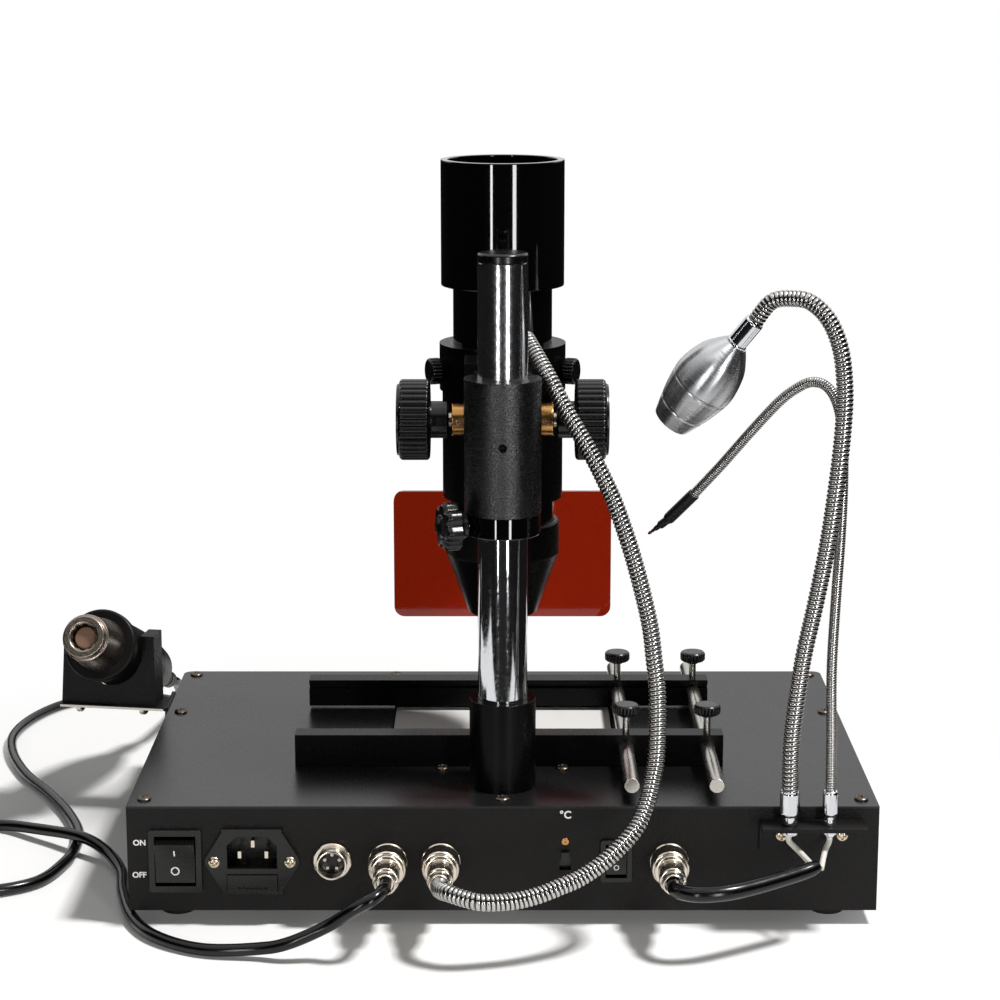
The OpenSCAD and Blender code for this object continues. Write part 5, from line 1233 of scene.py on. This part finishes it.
class STATION_OT_base(bpy.types.Operator):
    """Finishes the base, its heater, its dials and the rails"""

    bl_idname = "station.base"
    bl_label = "Base and rails"

    def rail_screws(self):
        """Four thumb screws: a fluted head on a plain stem, two on each rail."""
        stem = soften([(0, 79.3), (2, 79.3), (2, 93), (0, 93)], 0.2)
        head = [
            (0, 91.6), (3.2, 91.6), (3.6, 92.4), (6.2, 93), (7.25, 94), (7.25, 97.4), (6.2, 98.6), (0, 98.8),
        ]
        head = soften(head)
        grip = flutes(head, 160, 20, 0.7, 93.8, 97.6)
        for rail, y in (("near", -54), ("far", 51)):
            for side, x in (("left", 67), ("right", 111)):
                name = f"{rail}_screw_{side}"
                grid = lathe(head, 160, (x, y, 0), scale=grip)
                piece(name + "_head", grid, name, plastic(), (name,), "black_plastic")
                piece(name + "_stem", lathe(stem, 32, (x, y, 0)), name, steel(), (), "steel")

    def dial_scale(self, x):
        """Eleven bars on an arc round a dial, every fifth one longer."""
        first, step, radius, half, thick = -140, 28, 11.6, 0.25, 0.06
        bars = []
        for k in range(11):
            a = math.radians(first + step * k)
            u, v = np.array([math.sin(a), 0, math.cos(a)]), np.array([math.cos(a), 0, -math.sin(a)])
            long = 2.2 if k % 5 == 0 else 1.4
            foot = np.array([x, FRONT_Y, 25]) + u * radius
            bar = foot + np.array([-v * half, v * half, v * half + u * long, -v * half + u * long])
            bars.append(np.stack([bar + [0, thick, 0], bar]))
        piece(f"dial_scale_{x + 100}", bars, "base", paint(), (), "nickel", caps=True)

    def execute(self, context):
        dress(["base_tray"], coat_panel(), 0.35)
        dress(["top_cover"], coat_cover(), 0.5)
        dress(["rubber_feet"], rubber(), 0.6)
        dress(["heating_plate"], sanded_plate(), 0.5)
        dress(["heater_tray"], steel(), 0)
        dress(["heater_bars"], ceramic_bar(), 0.5)
        dress(["control_board"], solder_mask(), 0)
        dress(["display_windows"], tinted_window(), 0.2)
        dress(["near_rail", "far_rail"], satin_black(), 0.5)
        dress(["guide_rods"], steel(), 0.4)
        dress(["dial_left", "dial_middle", "dial_right"], plastic())
        self.rail_screws()
        for x in (-100, 0, 100):
            self.dial_scale(x)
        return {"FINISHED"}


class STATION_OT_hot_air(bpy.types.Operator):
    """Makes the hot-air handle, its nozzle and its cradle"""

    bl_idname = "station.hot_air"
    bl_label = "Hot-air handle"

    def handle(self):
        """The turned handle with a ribbed tail, its nozzle with a scalloped mouth, and the core."""
        seat, way = TOOL_MID - 19 * TOOL_BACK, -TOOL_BACK
        shell = [
            (0, 0), (20, 0), (21, -0.8), (21, -6.2), (20.2, -7), (19, -7.2), (19, -53), (18, -76),
            (15.5, -99), (10, -117), (6.25, -125), (6, -126), (5.9, -129), (5.3, -129.4), (5.3, -131),
            (5.8, -131.4), (5.7, -134), (5.3, -134.4), (5.3, -136), (5.7, -136.4), (5.6, -139),
            (5.25, -139.4), (5.25, -147), (0, -147),
        ]
        shell = lathe(soften(shell, 0.6), 128, seat, way)
        piece("tool_handle_shell", shell, "tool", handle_grip(), ("tool_handle",), "black_plastic", sharp=30)
        nose = [
            (0, 0), (15.5, 0), (15.3, 2), (13.5, 23.2), (13.5, 27), (12.2, 27.3), (12.2, 30.2), (11.6, 31),
            (8.4, 31), (7.5, 30.2), (7.3, 28), (7.3, 10.4), (0, 10.4),
        ]
        nose = soften(nose, 0.4)
        mouth = ((nose[:, 0] < 8) & (nose[:, 1] > 27))[:, None]
        scallop = 1 - mouth * 0.06 * (np.cos(10 * turns(144))[None] > 0.2)
        nose = lathe(nose, 144, seat, way, scallop)
        piece("tool_nozzle_barrel", nose, "tool", heated_steel(), ("tool_nozzle",), "steel", sharp=30)
        core = lathe(soften([(6.4, 10.2), (6.4, 26.4), (5.8, 27), (0, 27)], 0.4), 48, seat, way)
        piece("tool_core", core, "tool", fired_clay(), (), "ceramic")

    def cradle(self):
        """The coated cradle, a bright strip on its shelf's front edge, and two screws below."""
        dress(["tool_cradle"], coat_panel(), 0.5)
        ahead = unit(TOOL_BACK[:2])
        side = np.array([ahead[1], -ahead[0]])
        strip = [(-28.6, -3.2), (34, -3.2), (34, -2.9), (-28.6, -2.9)]
        edge = np.array([a * side + b * ahead for a, b in strip])
        rows = np.stack([np.column_stack([edge, np.full(4, z)]) for z in (-1.9, -0.6)]) + CRADLE
        piece("cradle_edge", rows, "base", steel(), (), "steel", caps=True)
        head, below = screw_head(2.8, 3.4, 32), -2
        seats = [CRADLE + [*(a * side), below] for a in (-17.3, 21.2)]
        grids = [aim(head, seat, (0, 0, -1)) for seat in seats]
        piece("cradle_screws", grids, "base", nickel(), (), "steel")

    def execute(self, context):
        self.handle()
        self.cradle()
        return {"FINISHED"}


class STATION_PT_panel(bpy.types.Panel):
    """Lists the station's pieces and values"""

    bl_idname = "STATION_PT_panel"
    bl_label = "Rework station"
    bl_space_type = "VIEW_3D"
    bl_region_type = "UI"
    bl_category = "Station"

    def draw(self, context):
        for name in GROUPS:
            values = getattr(context.scene, name)
            for key in values.__annotations__:
                self.layout.prop(values, key)
        for step in STEPS:
            self.layout.operator(step.bl_idname)


GROUPS = {"station_finish": StationFinish, "station_sizes": StationSizes, "station_stage": StationStage}
STEPS = (
    STATION_OT_stage,
    STATION_OT_cords,
    STATION_OT_necks,
    STATION_OT_base,
    STATION_OT_column,
    STATION_OT_lamp,
    STATION_OT_focus,
    STATION_OT_panel,
    STATION_OT_hot_air,
)


def register():
    for kind in (*GROUPS.values(), *STEPS, STATION_PT_panel):
        bpy.utils.register_class(kind)
    for name, kind in GROUPS.items():
        setattr(bpy.types.Scene, name, bpy.props.PointerProperty(type=kind))


def unregister():
    for name in GROUPS:
        delattr(bpy.types.Scene, name)
    for kind in (STATION_PT_panel, *STEPS, *GROUPS.values()):
        bpy.utils.unregister_class(kind)


def main():
    register()
    for step in STEPS:
        group, action = step.bl_idname.split(".")
        getattr(getattr(bpy.ops, group), action)()


if __name__ == "__main__":
    main()
